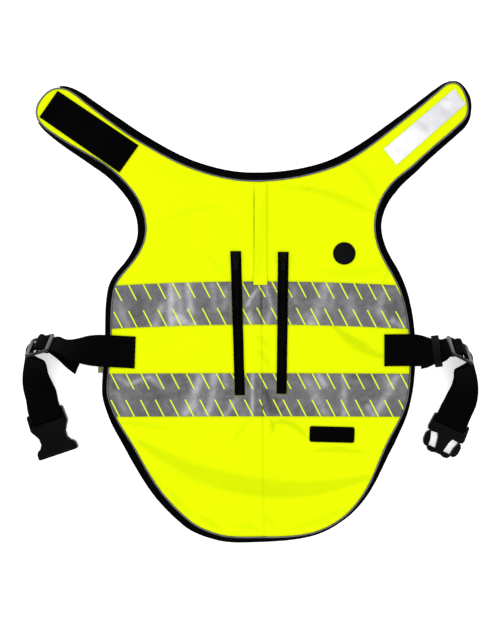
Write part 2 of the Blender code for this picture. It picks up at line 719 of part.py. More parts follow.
def make_trims():
    """Hook and loop patches, badge, label and side tab."""
    flat_sheet("hook_patch", HOOK_PATCH, on_shell, on_shell_top, "hook_black")
    flat_sheet("loop_patch", LOOP_PATCH, on_shell, on_shell_top, "loop_white")
    flat_sheet("side_tab", SIDE_TAB, lambda x, y: GAP, lambda x, y: GAP + TRIM_THICK,
               "hi_vis_yellow")
    height = (SHELL_THICK + GAP + TRIM_THICK / 2) * MM
    circle = []
    for i in range(40):
        angle = 2 * math.pi * i / 40
        circle.append((BADGE_RADIUS * math.cos(angle), BADGE_RADIUS * math.sin(angle)))
    place = Matrix.Translation((BADGE_CENTRE[0] * MM, BADGE_CENTRE[1] * MM, height))
    plate("badge", [circle], TRIM_THICK, "badge_black", place)
    place = Matrix.Translation((LABEL_CENTRE[0] * MM, LABEL_CENTRE[1] * MM, height))
    turn = Matrix.Rotation(math.radians(LABEL_TURN), 4, "Z")
    outline = rounded_outline(LABEL_SIZE[0] / 2, LABEL_SIZE[1] / 2, 2.5)
    plate("label", [outline], TRIM_THICK, "badge_black", place @ turn)


# The straps: a spine with a frame at each step, then layers set off from it
Frame = namedtuple("Frame", "point along across normal")


def spine_height(row):
    roll = math.radians(row.roll)
    return row.clear + WEBBING_WIDTH / 2 * math.sin(roll) + WEBBING_THICK / 2 * math.cos(roll)


def key_vector(place, roll, lean):
    """Position, roll and lean together, so that one curve carries them all."""
    return Vector((place[0], place[1], place[2], roll, lean))


def row_vector(row):
    return key_vector((row.x, row.y, spine_height(row)), row.roll, row.lean)


def pose_direction(pose):
    """The way of the strap through its adjuster, dipping towards the buckle."""
    level = heading_vector(pose.heading) * math.cos(math.radians(pose.dip))
    return level - Vector((0, 0, math.sin(math.radians(pose.dip))))


def pose_lean(pose, roll, hand):
    """Lean at which the webbing is square to its way through the adjuster."""
    turn = math.acos(math.tan(math.radians(pose.dip)) * math.tan(math.radians(roll)))
    return (pose.heading + hand * math.degrees(turn)) % 360


def strap_keys(rows, pose, hand, bar, heading):
    """Keys of the spine, with straight runs through the adjuster and up to the buckle bar."""
    keys = []
    for row in rows:
        if row.name != "adjuster":
            keys.append((row.name, row_vector(row)))
            continue
        centre = Vector((row.x, row.y, spine_height(row)))
        lean = pose_lean(pose, row.roll, hand)
        for reach in THROUGH_RUN:
            name = "adjuster" if reach == 0 else "through"
            place = centre + pose_direction(pose) * reach
            keys.append((name, key_vector(place, row.roll, lean)))
    lean = 360 + heading + hand * 90
    for reach in BAR_RUN:
        place = bar + heading_vector(heading) * reach
        keys.append(("bar_run", key_vector(place, 0.0, lean)))
    return keys


def smooth_between(a, b, c, d, t):
    """Point at t on the smooth curve from b to c."""
    point = b * 2 + (c - a) * t + (a * 2 - b * 5 + c * 4 - d) * t ** 2
    return (point + (b * 3 - a - c * 3 + d) * t ** 3) / 2


def spline_points(keys, spacing):
    """Smooth line through the keys in even steps, with the distance of each named key."""
    places = [key[1] for key in keys]
    places = [places[0] * 2 - places[1]] + places + [places[-1] * 2 - places[-2]]
    dense = []
    marks = {}
    for i in range(1, len(places) - 2):
        marks[keys[i - 1][0]] = len(dense)
        for k in range(12):
            dense.append(smooth_between(*places[i - 1:i + 3], k / 12))
    dense.append(places[-2])
    lengths = [0.0]
    for one, other in zip(dense, dense[1:]):
        lengths.append(lengths[-1] + (other.xyz - one.xyz).length)
    count = round(lengths[-1] / spacing)
    result = []
    for i in range(count + 1):
        target = lengths[-1] * i / count
        k = max(j for j in range(len(lengths)) if lengths[j] <= target + 1e-9)
        k = min(k, len(dense) - 2)
        t = (target - lengths[k]) / (lengths[k + 1] - lengths[k])
        result.append(dense[k].lerp(dense[k + 1], t))
    return result, {name: lengths[k] for name, k in marks.items()}, lengths[-1] / count


def frames_along(points, hand):
    """Frames at the points; hand is +1 where the raised edge is on the left of the strap."""
    frames = []
    for i, point in enumerate(points):
        before = points[max(i - 1, 0)].xyz
        after = points[min(i + 1, len(points) - 1)].xyz
        along = (after - before).normalized()
        roll = math.radians(point.w)
        across = heading_vector(point[4]) * math.cos(roll) + Vector((0, 0, math.sin(roll)))
        normal = (along.cross(across) * hand).normalized()
        frames.append(Frame(point.xyz, along, across, normal))
    return frames


def weave_offset(distance):
    """How far the webbing is off its plane as it weaves through the adjuster."""
    if abs(distance) >= 2 * ADJUSTER_BAR_REACH:
        return 0.0
    swing = math.cos(math.pi * distance / ADJUSTER_BAR_REACH)
    if abs(distance) <= ADJUSTER_BAR_REACH:
        return ADJUSTER_WEAVE * swing
    return ADJUSTER_WEAVE * (swing - 1) / 2


def smooth_step(value):
    value = min(1.0, max(0.0, value))
    return value * value * (3 - 2 * value)


def strap_layers(keys, pose, hand, bar, bar_heading):
    """Outward layer, loop round the buckle bar and returning layer, as frames of one webbing."""
    points, marks, step = spline_points(keys, STRAP_STEP)
    frames = frames_along(points, hand)
    middle = marks["adjuster"]
    total = step * (len(frames) - 1)
    loop_reach = BUCKLE_BAR_RADIUS + GAP + WEBBING_THICK / 2
    outward = []
    inward = []
    for i, frame in enumerate(frames):
        distance = i * step
        off = weave_offset(distance - middle)
        doubled = smooth_step((distance - middle + pose.held_back + 30) / 25)
        spread = lerp(0.0, (WEBBING_THICK + GAP) / 2, doubled)
        spread = lerp(spread, loop_reach, smooth_step(1 - (total - distance) / 24))
        outward.append(frame._replace(point=frame.point + frame.normal * (off + spread)))
        inward.append(frame._replace(point=frame.point + frame.normal * (off - spread)))
    loop = []
    along = heading_vector(bar_heading)
    for i in range(1, 8):
        angle = math.pi * (0.5 - i / 8)
        normal = along * math.cos(angle) + Vector((0, 0, 1)) * math.sin(angle)
        loop.append(Frame(bar + normal * loop_reach, None, frames[-1].across, normal))
    cut = round((middle - pose.held_back) / step)
    back = [frame._replace(normal=-frame.normal) for frame in reversed(inward[cut:])]
    return outward, loop, back


def webbing_ring(frame):
    """Four corners of the webbing's section."""
    side = frame.across * WEBBING_WIDTH / 2
    up = frame.normal * WEBBING_THICK / 2
    point = frame.point
    return [point + side + up, point - side + up, point - side - up, point + side - up]


def make_strap(name, keys, pose, hand, bar, bar_heading, tail):
    outward, loop, back = strap_layers(keys, pose, hand, bar, bar_heading)
    frames = outward + loop + back + tail_frames(back, tail, hand)
    return loft(name, [webbing_ring(frame) for frame in frames], "webbing_black")


def tail_frames(back, tail, hand):
    """Frames of the free end beyond the adjuster, from its table."""
    control = []
    for frame in (back[-4], back[-1]):
        roll = math.degrees(math.asin(frame.across.z))
        lean = math.degrees(math.atan2(frame.across.y, frame.across.x)) % 360
        control.append(key_vector(frame.point, roll, lean))
    control += [row_vector(row) for row in tail]
    control.append(control[-1] * 2 - control[-2])
    dense = []
    for i in range(1, len(control) - 2):
        for k in range(1, 5):
            dense.append(smooth_between(*control[i - 1:i + 3], k / 4))
    return [frame._replace(normal=-frame.normal) for frame in frames_along(dense, -hand)]


def adjuster_matrix(keys, pose, hand):
    """Place of an adjuster: x along the strap, y across it, z off its face."""
    place = next(key[1] for key in keys if key[0] == "adjuster")
    along = pose_direction(pose)
    ahead = place + key_vector(along, 0.0, 0.0)
    behind = place - key_vector(along, 0.0, 0.0)
    frame = frames_along([behind, place, ahead], hand)[1]
    matrix = Matrix((along, frame.across * hand, frame.normal)).transposed().to_4x4()
    return Matrix.Translation(place.xyz * MM) @ matrix


def make_adjuster(name, keys, pose, hand):
    """Three-bar adjuster: a rounded frame with two slots."""
    half_x = ADJUSTER_BAR_REACH + ADJUSTER_BAR / 2
    inner = ADJUSTER_BAR_REACH - ADJUSTER_BAR / 2
    mid = ADJUSTER_MID_BAR / 2
    slot_half = WEBBING_WIDTH / 2 + 0.5
    outline = rounded_outline(half_x, ADJUSTER_WIDTH / 2, 4.0)
    slots = []
    for side in (-1, 1):
        near = side * mid
        far = side * inner
        slots.append([(near, -slot_half), (far, -slot_half), (far, slot_half), (near, slot_half)])
    item = plate(name, [outline] + slots, ADJUSTER_THICK, "buckle_plastic",
                 adjuster_matrix(keys, pose, hand))
    add_bevel(item, 0.7)


def buckle_matrix(at, heading, thick):
    """Place of a buckle half: x from its webbing end to its tip, y across, z up."""
    place = Matrix.Translation((at[0] * MM, at[1] * MM, (thick / 2 + GAP) * MM))
    return place @ Matrix.Rotation(math.radians(heading), 4, "Z")


def mirrored_outline(steps):
    right = [(step.u, step.v) for step in steps]
    left = [(step.u, -step.v) for step in reversed(steps)]
    return right + left


def bar_bay(item, name, matrix, thick, bar_u):
    """Clear a bay between the shoulders and set the webbing bar across it."""
    wall = bar_u + BUCKLE_BAR_RADIUS + WEBBING_THICK + 2 * GAP
    low = (-9.0, -SHOULDER_HALF, -thick)
    high = (wall, SHOULDER_HALF, thick)
    boolean(item, box(name + "_bay", low, high, "buckle_plastic", matrix), "DIFFERENCE")
    bm = bmesh.new()
    bmesh.ops.create_cone(bm, cap_ends=True, segments=10, radius1=BUCKLE_BAR_RADIUS,
                          radius2=BUCKLE_BAR_RADIUS, depth=2 * SHOULDER_HALF + 2.0)
    bmesh.ops.rotate(bm, verts=bm.verts, matrix=Matrix.Rotation(math.pi / 2, 3, "X"))
    bmesh.ops.translate(bm, verts=bm.verts, vec=(bar_u, 0, 0))
    boolean(item, finish(name + "_bar", bm, "buckle_plastic", matrix), "UNION")


def make_socket():
    """Socket half of the side-release buckle, hollow and open at its mouth and waist."""
    matrix = buckle_matrix(SOCKET_AT, SOCKET_HEADING, SOCKET_THICK)
    item = plate("buckle_socket", [mirrored_outline(SOCKET_STEPS)], SOCKET_THICK,
                 "buckle_plastic", matrix)
    add_bevel(item, 1.0)
    inside = SOCKET_THICK / 2 - SOCKET_WALL
    low = (15.0, -19.0, -inside)
    high = (52.0, 19.0, inside)
    boolean(item, box("socket_hollow", low, high, "buckle_plastic", matrix), "DIFFERENCE")
    bar_bay(item, "socket", matrix, SOCKET_THICK, SOCKET_BAR_U)


def make_fork():
    """Fork half of the buckle: a base, two spring arms and a guide tongue."""
    matrix = buckle_matrix(FORK_AT, FORK_HEADING, FORK_THICK)
    window = FORK_WINDOW
    other = [(u, -v) for u, v in reversed(window)]
    item = plate("buckle_fork", [mirrored_outline(FORK_STEPS), window, other], FORK_THICK,
                 "buckle_plastic", matrix)
    add_bevel(item, 0.7)
    bar_bay(item, "fork", matrix, FORK_THICK, FORK_BAR_U)


def bar_centre(at, heading, bar_u, thick):
    step = heading_vector(heading) * bar_u
    return Vector((at[0] + step.x, at[1] + step.y, thick / 2 + GAP))


def make_keeper(keys):
    """Loop round both layers of the right strap."""
    points, marks, step = spline_points(keys, STRAP_STEP)
    frame = frames_along(points, -1)[round(marks["keeper"] / step)]
    inner = (WEBBING_WIDTH / 2 + 0.8, WEBBING_THICK + GAP / 2 + 1.5)
    outer = (inner[0] + KEEPER_WALL, inner[1] + KEEPER_WALL)
    bm = bmesh.new()
    loops = []
    for reach_v, reach_n in (outer, inner):
        for along in (-KEEPER_LENGTH / 2, KEEPER_LENGTH / 2):
            corners = [(1, 1), (-1, 1), (-1, -1), (1, -1)]
            ring = []
            for v, n in corners:
                place = frame.point + frame.along * along
                place = place + frame.across * (v * reach_v) + frame.normal * (n * reach_n)
                ring.append(bm.verts.new(place))
            loops.append(ring)
    for one, other in ((0, 1), (1, 3), (3, 2), (2, 0)):
        for i in range(4):
            j = (i + 1) % 4
            bm.faces.new((loops[one][i], loops[one][j], loops[other][j], loops[other][i]))
    item = finish("keeper_right", bm, "buckle_plastic")
    add_bevel(item, 0.5)


def main():
    shell_panel("shell_left", -1)
    shell_panel("shell_right", 1)
    make_piping()
    for run in BINDING_RUNS:
        make_binding(run)
    make_bands()
    make_placket()
    for side in ZIPS:
        make_zip(side)
        make_slider(side)
        make_pull(side)
    make_trims()
    socket_bar = bar_centre(SOCKET_AT, SOCKET_HEADING, SOCKET_BAR_U, SOCKET_THICK)
    fork_bar = bar_centre(FORK_AT, FORK_HEADING, FORK_BAR_U, FORK_THICK)
    left = strap_keys(STRAP_LEFT, POSE_LEFT, 1, socket_bar, SOCKET_HEADING)
    right = strap_keys(STRAP_RIGHT, POSE_RIGHT, -1, fork_bar, FORK_HEADING)
    make_strap("strap_left", left, POSE_LEFT, 1, socket_bar, SOCKET_HEADING, TAIL_LEFT)
    make_strap("strap_right", right, POSE_RIGHT, -1, fork_bar, FORK_HEADING, TAIL_RIGHT)
    make_adjuster("adjuster_left", left, POSE_LEFT, 1)
    make_adjuster("adjuster_right", right, POSE_RIGHT, -1)
    make_keeper(right)
    make_socket()
    make_fork()


main()
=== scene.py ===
# %% [markdown]
# # A dog safety vest, laid flat
# The vest lies on its belly side with its neck away from us. Its hard parts and the cut of its
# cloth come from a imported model, and these cells dress that model: woven cloth, reflective tape,
# zips, stitches and webbing. Sizes in the tables are millimetres, because that is how a pattern
# cutter works; Blender gets metres only when a piece is finished.

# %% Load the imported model
import json
import math
from collections import namedtuple

import bmesh
import bpy
import numpy as np
from mathutils import Matrix, Vector

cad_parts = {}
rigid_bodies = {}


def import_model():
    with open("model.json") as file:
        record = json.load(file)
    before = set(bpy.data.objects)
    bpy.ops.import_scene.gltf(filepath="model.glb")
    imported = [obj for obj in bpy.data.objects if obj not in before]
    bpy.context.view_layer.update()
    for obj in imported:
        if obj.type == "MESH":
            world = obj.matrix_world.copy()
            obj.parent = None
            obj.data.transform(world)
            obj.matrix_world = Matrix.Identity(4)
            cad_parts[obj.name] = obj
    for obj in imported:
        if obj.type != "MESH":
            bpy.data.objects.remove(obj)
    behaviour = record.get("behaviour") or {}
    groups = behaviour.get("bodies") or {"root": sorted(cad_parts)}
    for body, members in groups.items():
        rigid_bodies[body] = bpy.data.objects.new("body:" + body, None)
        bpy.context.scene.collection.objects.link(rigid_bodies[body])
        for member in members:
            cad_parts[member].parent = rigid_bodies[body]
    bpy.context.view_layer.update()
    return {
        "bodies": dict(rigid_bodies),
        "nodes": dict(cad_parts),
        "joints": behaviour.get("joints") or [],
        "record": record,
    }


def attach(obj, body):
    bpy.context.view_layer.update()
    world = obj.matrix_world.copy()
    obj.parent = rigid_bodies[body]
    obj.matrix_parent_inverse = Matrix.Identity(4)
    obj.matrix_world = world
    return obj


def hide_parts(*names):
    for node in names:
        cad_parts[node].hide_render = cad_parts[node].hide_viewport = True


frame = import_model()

MM = 0.001

# %% [markdown]
# ## Sums on sockets
# A material is easier to read as a sum than as a web of wires. Value wraps a socket and overloads
# the operators, so that `1 - mask * 0.5` adds the Math nodes by itself. Finish holds a material in
# the making. Its node method adds a node of any kind, and the short methods after it add the few
# nodes that come back in every material.

# %% Value and Finish
class Value:
    """A socket that can stand in a sum."""

    def __init__(self, finish, socket):
        self.finish = finish
        self.socket = socket

    def math(self, operation, *others):
        return self.sum(operation, self, *others)

    def sum(self, operation, *terms):
        return self.finish.node("Math", dict(enumerate(terms)), operation=operation)

    def __add__(self, other):
        return self.math("ADD", other)

    def __sub__(self, other):
        return self.math("SUBTRACT", other)

    def __mul__(self, other):
        return self.math("MULTIPLY", other)

    def __truediv__(self, other):
        return self.math("DIVIDE", other)

    def __mod__(self, other):
        return self.math("FLOORED_MODULO", other)

    def __radd__(self, other):
        return self.sum("ADD", other, self)

    def __rsub__(self, other):
        return self.sum("SUBTRACT", other, self)

    def ramp(self, low, high):
        """0 below low, 1 above high, smooth between."""
        inputs = {"Value": self, "From Min": low, "From Max": high}
        return self.finish.node("MapRange", inputs, interpolation_type="SMOOTHSTEP")


class Finish:
    """A material in the making."""

    def __init__(self, name, **sockets):
        self.material = bpy.data.materials.new(name)
        self.material.use_nodes = True
        self.tree = self.material.node_tree
        self.shader = self.tree.nodes["Principled BSDF"]
        for socket, value in sockets.items():
            self.feed(socket.replace("_", " ").title().replace("Ior", "IOR"), value)

    def feed(self, socket, value):
        """Give one of the shader's sockets a value or a link."""
        self.plug(self.shader.inputs[socket], value)

    def plug(self, socket, value):
        if isinstance(value, Value):
            self.tree.links.new(value.socket, socket)
        elif isinstance(value, tuple):
            socket.default_value = (*value, 1.0)
        else:
            socket.default_value = value

    def node(self, kind, inputs=(), output=0, **settings):
        node = self.tree.nodes.new("ShaderNode" + kind)
        for name, value in settings.items():
            setattr(node, name, value)
        for key, value in dict(inputs).items():
            self.plug(node.inputs[key], value)
        return Value(self, node.outputs[output])

    def mix(self, factor, a, b):
        """Colour a where factor is 0, colour b where it is 1."""
        inputs = {0: factor, 6: a, 7: b}
        return self.node("Mix", inputs, output=2, data_type="RGBA")

    def object_space(self):
        return self.node("TexCoord", output=3)

    def painted(self, name):
        """A number that the mesh keeps at each point under this name."""
        return self.node("Attribute", output=2, attribute_name=name)

    def first_two(self, vector):
        split = self.node("SeparateXYZ", {0: vector}).socket.node
        return [Value(self, output) for output in split.outputs[:2]]

    def place(self):
        """Object coordinates in millimetres, as x and y."""
        inputs = {0: self.object_space(), "Scale": 1 / MM}
        return self.first_two(self.node("VectorMath", inputs, operation="SCALE"))

    def cloth_run(self):
        """The piece's own run attribute: distance along and across it in millimetres."""
        return self.first_two(self.node("Attribute", output=1, attribute_name="run"))

    def grain(self, scale, detail=3.0):
        """Soft noise; scale is in bumps to the metre."""
        inputs = {"Vector": self.object_space(), "Scale": scale, "Detail": detail,
                  "Roughness": 0.55}
        return self.node("TexNoise", inputs)

    def bump(self, height, distance, strength=1.0):
        """Raise the surface by a height of 0 to 1, distance in millimetres."""
        inputs = {"Height": height, "Distance": distance * MM, "Strength": strength}
        self.feed("Normal", self.node("Bump", inputs))

# %% [markdown]
# ## Camera, light and floor
# The vest was photographed from straight above, from far enough away that only the raised straps
# show any perspective. The camera stands 1.4 m up and its field is the photograph's: 592 mm wide.
# The floor is near white and the light is broad, as on a product table.

# %% Camera
CAMERA_SPOT = (-0.0008, 0.0005, 1.4)
FIELD_TALL = 0.740
SENSOR = 36.0
camera_data = bpy.data.cameras.new("camera")
camera_data.sensor_fit = "VERTICAL"
camera_data.sensor_height = SENSOR
camera_data.lens = SENSOR * CAMERA_SPOT[2] / FIELD_TALL
camera = bpy.data.objects.new("camera", camera_data)
camera.location = CAMERA_SPOT
bpy.context.scene.collection.objects.link(camera)
bpy.context.scene.camera = camera
print("lens", round(camera_data.lens, 1))

# %% Lights and floor
SKY_STRENGTH = 0.82
FLOOR_HALF = 14.0
FLOOR_DROP = 0.0002
FLOOR_GLOW = 0.5
Lamp = namedtuple("Lamp", "name x y z size power")
LAMPS = [
    Lamp("key", -0.9, 1.1, 1.5, 1.2, 11.0),
    Lamp("fill", 1.3, -0.4, 1.7, 1.8, 8.0),
    Lamp("front", -0.2, -1.5, 1.6, 1.6, 7.0),
]
for lamp in LAMPS:
    data = bpy.data.lights.new(lamp.name, "AREA")
    data.size = lamp.size
    data.energy = lamp.power
    item = bpy.data.objects.new(lamp.name, data)
    item.location = (lamp.x, lamp.y, lamp.z)
    item.rotation_euler = (-Vector(item.location)).to_track_quat("-Z", "Y").to_euler()
    bpy.context.scene.collection.objects.link(item)

world = bpy.data.worlds.new("studio")
world.use_nodes = True
sky = world.node_tree.nodes["Background"].inputs
sky["Color"].default_value = (1.0, 1.0, 1.0, 1.0)
sky["Strength"].default_value = SKY_STRENGTH
bpy.context.scene.world = world
bpy.context.scene.view_settings.view_transform = "Standard"

paper = Finish("paper", roughness=0.9, emission_color=(1.0, 1.0, 1.0),
               emission_strength=FLOOR_GLOW)
paper.feed("Base Color", paper.mix(paper.grain(3.0), (0.93, 0.93, 0.93), (0.95, 0.95, 0.95)))
bm = bmesh.new()
bmesh.ops.create_grid(bm, x_segments=1, y_segments=1, size=FLOOR_HALF)
bmesh.ops.translate(bm, verts=bm.verts, vec=(0, 0, -FLOOR_DROP))
floor_mesh = bpy.data.meshes.new("floor")
bm.to_mesh(floor_mesh)
bm.free()
floor = bpy.data.objects.new("floor", floor_mesh)
floor.data.materials.append(paper.material)
bpy.context.scene.collection.objects.link(floor)
print("lamps", len(LAMPS))

# %% [markdown]
# ## The pattern
# A cutter draws the vest's edge as a few points with a direction at each, joined by smooth curves.
# The same points, walked in small steps, give the panels their outline, the piping and binding
# their path, and the reflective bands their ends. Border is the width of the black binding.

# %% The edge of the shell
PatternPoint = namedtuple("PatternPoint", "name x y heading border")
PATTERN = [
    PatternPoint("neck_centre", 4.0, 154.7, 0, 9.0),
    PatternPoint("neck_right", 84.5, 166.4, 17, 8.2),
    PatternPoint("neck_right_rise", 117.6, 180.1, 30, 8.8),
    PatternPoint("arm_right_top", 176.8, 222.9, 38, 6.2),
    PatternPoint("tip_right_start", 219.5, 258.0, 40, 3.9),
    PatternPoint("tip_right_top", 239.0, 270.7, 2, 0.8),
    PatternPoint("tip_right_side", 253.3, 254.4, -70, 3.9),
    PatternPoint("tip_right_low", 255.2, 237.9, -98, 3.0),
    PatternPoint("tip_right_under", 246.7, 224.8, -137, 6.2),
    PatternPoint("arm_right_under", 197.0, 180.7, -136, 6.5),
    PatternPoint("armpit_right", 163.2, 150.8, -129, 9.2),
    PatternPoint("armhole_right", 145.3, 102.9, -90, 6.7),
    PatternPoint("armhole_right_low", 162.9, 50.8, -58, 7.7),
    PatternPoint("side_right_top", 180.6, 9.4, -76, 6.0),
    PatternPoint("side_right_mid", 187.2, -61.7, -91, 4.9),
    PatternPoint("side_right_low", 183.0, -104.3, -103, 3.6),
    PatternPoint("hip_right", 161.7, -150.5, -117, 7.0),
    PatternPoint("hem_right_upper", 135.4, -208.5, -120, 3.8),
    PatternPoint("hem_right", 103.4, -244.6, -145, 1.6),
    PatternPoint("hem_right_low", 64.4, -260.8, -170, 2.4),
    PatternPoint("hem_centre", 8.7, -263.9, -180, 4.8),
    PatternPoint("hem_left_low", -41.0, -260.0, 162, 5.8),
    PatternPoint("hem_left", -71.8, -244.6, 140, 7.7),
    PatternPoint("hem_left_upper", -106.1, -209.1, 127, 8.3),
    PatternPoint("hip_left", -134.6, -162.3, 119, 9.1),
    PatternPoint("side_left_low", -161.2, -116.2, 112, 6.3),
    PatternPoint("side_left_bend", -168.2, -88.9, 88, 5.2),
    PatternPoint("side_left_mid", -164.2, -38.0, 87, 5.9),
    PatternPoint("side_left_top", -160.3, 27.1, 78, 6.2),
    PatternPoint("armhole_left_low", -144.0, 52.6, 49, 5.8),
    PatternPoint("armhole_left", -122.5, 99.3, 90, 8.7),
    PatternPoint("armpit_left", -138.1, 144.3, 127, 9.2),
    PatternPoint("arm_left_under", -179.0, 181.5, 149, 8.6),
    PatternPoint("arm_left_low", -229.3, 211.1, 146, 3.8),
    PatternPoint("tip_left_low", -248.4, 226.9, 126, 1.2),
    PatternPoint("tip_left_side", -251.8, 240.2, 82, 0.8),
    PatternPoint("tip_left_upper", -242.9, 256.2, 48, 0.8),
    PatternPoint("tip_left_top", -225.7, 264.2, -2, 1.8),
    PatternPoint("arm_left_top", -200.9, 251.1, -39, 6.2),
    PatternPoint("arm_left_rise", -155.9, 216.8, -36, 9.0),
    PatternPoint("neck_left_fall", -116.8, 192.4, -30, 8.5),
    PatternPoint("neck_left", -69.4, 169.4, -20, 8.2),
]
EdgeSample = namedtuple("EdgeSample", "point outward border name")
EDGE_STEP = 5.0


def heading_vector(degrees):
    return Vector((math.cos(math.radians(degrees)), math.sin(math.radians(degrees)), 0.0))


def lerp(a, b, t):
    return a + (b - a) * t


def edge_stretch(start, end):
    """Samples of the edge from one pattern point up to the next."""
    p0 = Vector((start.x, start.y, 0.0))
    p3 = Vector((end.x, end.y, 0.0))
    turn = math.radians((end.heading - start.heading + 180) % 360 - 180)
    chord = (p3 - p0).length
    half = max(abs(turn) / 2, 0.01)
    handle = chord * (2 / 3) * math.tan(half / 2) / math.sin(half)
    p1 = p0 + heading_vector(start.heading) * handle
    p2 = p3 - heading_vector(end.heading) * handle
    steps = max(2, math.ceil(chord / EDGE_STEP), math.ceil(abs(math.degrees(turn)) / 6))
    samples = []
    for i in range(steps):
        t = i / steps
        s = 1 - t
        point = p0 * s ** 3 + p1 * (3 * s * s * t) + p2 * (3 * s * t * t) + p3 * t ** 3
        slope = (p1 - p0) * (s * s) + (p2 - p1) * (2 * s * t) + (p3 - p2) * (t * t)
        slope.normalize()
        outward = Vector((-slope.y, slope.x, 0.0))
        name = start.name if i == 0 else None
        samples.append(EdgeSample(point, outward, lerp(start.border, end.border, t), name))
    return samples


EDGE = []
for start, end in zip(PATTERN, PATTERN[1:] + PATTERN[:1]):
    EDGE += edge_stretch(start, end)
EDGE_POINTS = np.array([sample.point[:2] for sample in EDGE])
print("edge samples", len(EDGE))

# %% [markdown]
# ## How the cloth lies
# Cloth on a table is never flat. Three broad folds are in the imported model; they are repeated
# here, and smaller creases join them: soft ridges, none alike in length, height or width. One
# function gives the lift of the cloth at any point, and every layer sewn to the vest is lifted
# by the same amount, so a band or a patch can't sink into the panel that carries it.

# %% Folds and creases
EDGE_BLOCK = 60
SWELL_REACH = 45
Fold = namedtuple("Fold", "name x0 y0 xm ym x1 y1 height half_width")
FOLDS = [
    Fold("across_the_hem", -118, -168, -42, -208, 112, -203, 5.0, 17),
    Fold("neck_right", 74, 140, 104, 131, 136, 127, 3.0, 13),
    Fold("hem_left", -74, -221, -52, -235, -28, -239, 2.6, 12),
]
CREASES = [
    Fold("hem_upper_edge", -130, -150, -60, -190, 95, -196, 0.9, 6),
    Fold("hem_lower_edge", -116, -176, -20, -228, 120, -206, 1.1, 6),
    Fold("hem_arc", 26, -127, 58, -124, 68, -145, 1.3, 5),
    Fold("hem_arc_root", 25, -125, 26, -132, 25, -142, 0.8, 4),
    Fold("hem_diagonal_left", -78, -232, -56, -240, -38, -254, 1.3, 6),
    Fold("hem_diagonal_mid", -7, -243, 2, -250, 11, -258, 1.0, 5),
    Fold("under_label", 78, -158, 104, -166, 130, -163, 0.9, 6),
    Fold("under_band_left", -146, -128, -128, -134, -104, -133, 1.0, 7),
    Fold("under_band_mid", -84, -140, -50, -137, -22, -146, 0.6, 8),
    Fold("neck_right_upper", 122, 177, 138, 160, 152, 145, 1.2, 6),
    Fold("neck_right_low", 62, 156, 96, 138, 146, 122, 0.8, 7),
    Fold("neck_left", -9, 153, -6, 148, 0, 143, 0.8, 5),
    Fold("neck_left_slope", -70, 158, -58, 138, -38, 124, 0.6, 9),
    Fold("right_body", 101, -28, 122, -31, 139, -42, 1.1, 7),
    Fold("right_flank", 128, 12, 146, -4, 152, -26, 0.6, 8),
    Fold("right_of_badge", 160, 44, 152, 37, 148, 34, 0.9, 6),
    Fold("left_above_band", -46, 50, -38, 46, -28, 40, 0.9, 6),
    Fold("left_flank", -140, 20, -128, -10, -136, -44, 0.5, 9),
    Fold("left_shoulder", -112, 142, -86, 118, -74, 88, 0.6, 10),
    Fold("between_zips_high", 17, -32, 23, -34, 29, -36, 0.8, 3),
    Fold("between_zips_low", 17, -46, 21, -48, 25, -50, 0.7, 3),
    Fold("right_low", 70, -46, 92, -56, 118, -60, 0.5, 8),
    Fold("left_low", -120, -52, -84, -60, -50, -56, 0.5, 9),
    Fold("arm_left", -150, 178, -128, 160, -110, 158, 0.6, 9),
    Fold("arm_right_inner", 150, 168, 166, 186, 178, 208, 0.6, 8),
]
SHADES = [
    Fold("hem_crescent", -131, -153, -1, -236, 138, -194, 0.62, 16),
    Fold("right_body", 96, -13, 124, -43, 158, -52, 0.8, 8),
    Fold("right_body_thin", 108, -22, 124, -35, 145, -39, 0.4, 4),
    Fold("neck_right", 58, 150, 94, 141, 150, 117, 0.5, 7),
    Fold("neck_right_upper", 116, 178, 138, 162, 152, 133, 0.45, 6),
    Fold("neck_right_middle", 32, 151, 44, 147, 73, 144, 0.35, 5),
    Fold("neck_left_arc", -119, 102, -77, 123, -36, 127, 0.25, 6),
    Fold("neck_left_fall", -37, 127, -28, 107, -35, 77, 0.2, 7),
    Fold("left_above_band", -50, 69, -40, 54, -24, 39, 0.3, 6),
    Fold("placket_fall", 18, 141, 12, 90, 8, 42, 0.3, 9),
    Fold("under_badge", 76, 53, 115, 39, 163, 56, 0.3, 9),
    Fold("right_of_badge", 157, 38, 166, 60, 181, 69, 0.4, 6),
    Fold("between_zips_high", 5, -27, 14, -31, 24, -43, 0.4, 5),
    Fold("between_zips_mid", 8, -47, 16, -46, 22, -67, 0.45, 6),
    Fold("hem_arc_left", -22, -155, -12, -136, 1, -126, 0.35, 5),
    Fold("hem_arc_root", 24, -126, 28, -131, 25, -144, 1.1, 3.5),
    Fold("hem_arc", 26, -129, 53, -125, 66, -149, 0.95, 4.5),
    Fold("under_label", 75, -162, 103, -160, 133, -165, 0.65, 5),
    Fold("under_band_left", -151, -129, -125, -132, -97, -136, 0.4, 5),
    Fold("hem_left_low", -99, -207, -89, -219, -73, -238, 0.45, 6),
    Fold("hem_left_lower", -61, -240, -49, -245, -35, -258, 0.5, 5),
    Fold("hem_mid_low", -18, -252, -4, -250, 12, -258, 0.35, 5),
    Fold("hem_mid_lower", 12, -238, 24, -245, 32, -258, 0.35, 4),
    Fold("hem_right_low", 111, -231, 85, -246, 54, -253, 0.3, 7),
    Fold("left_hip", -123, -180, -114, -196, -102, -210, 0.35, 6),
    Fold("arm_left", -121, 174, -89, 162, -50, 163, 0.15, 12),
]


def gaps_between(points, line):
    """Distances from each point, one to a row, to each place on a line."""
    return np.linalg.norm(points[:, None, :] - line[None, :, :], axis=2)


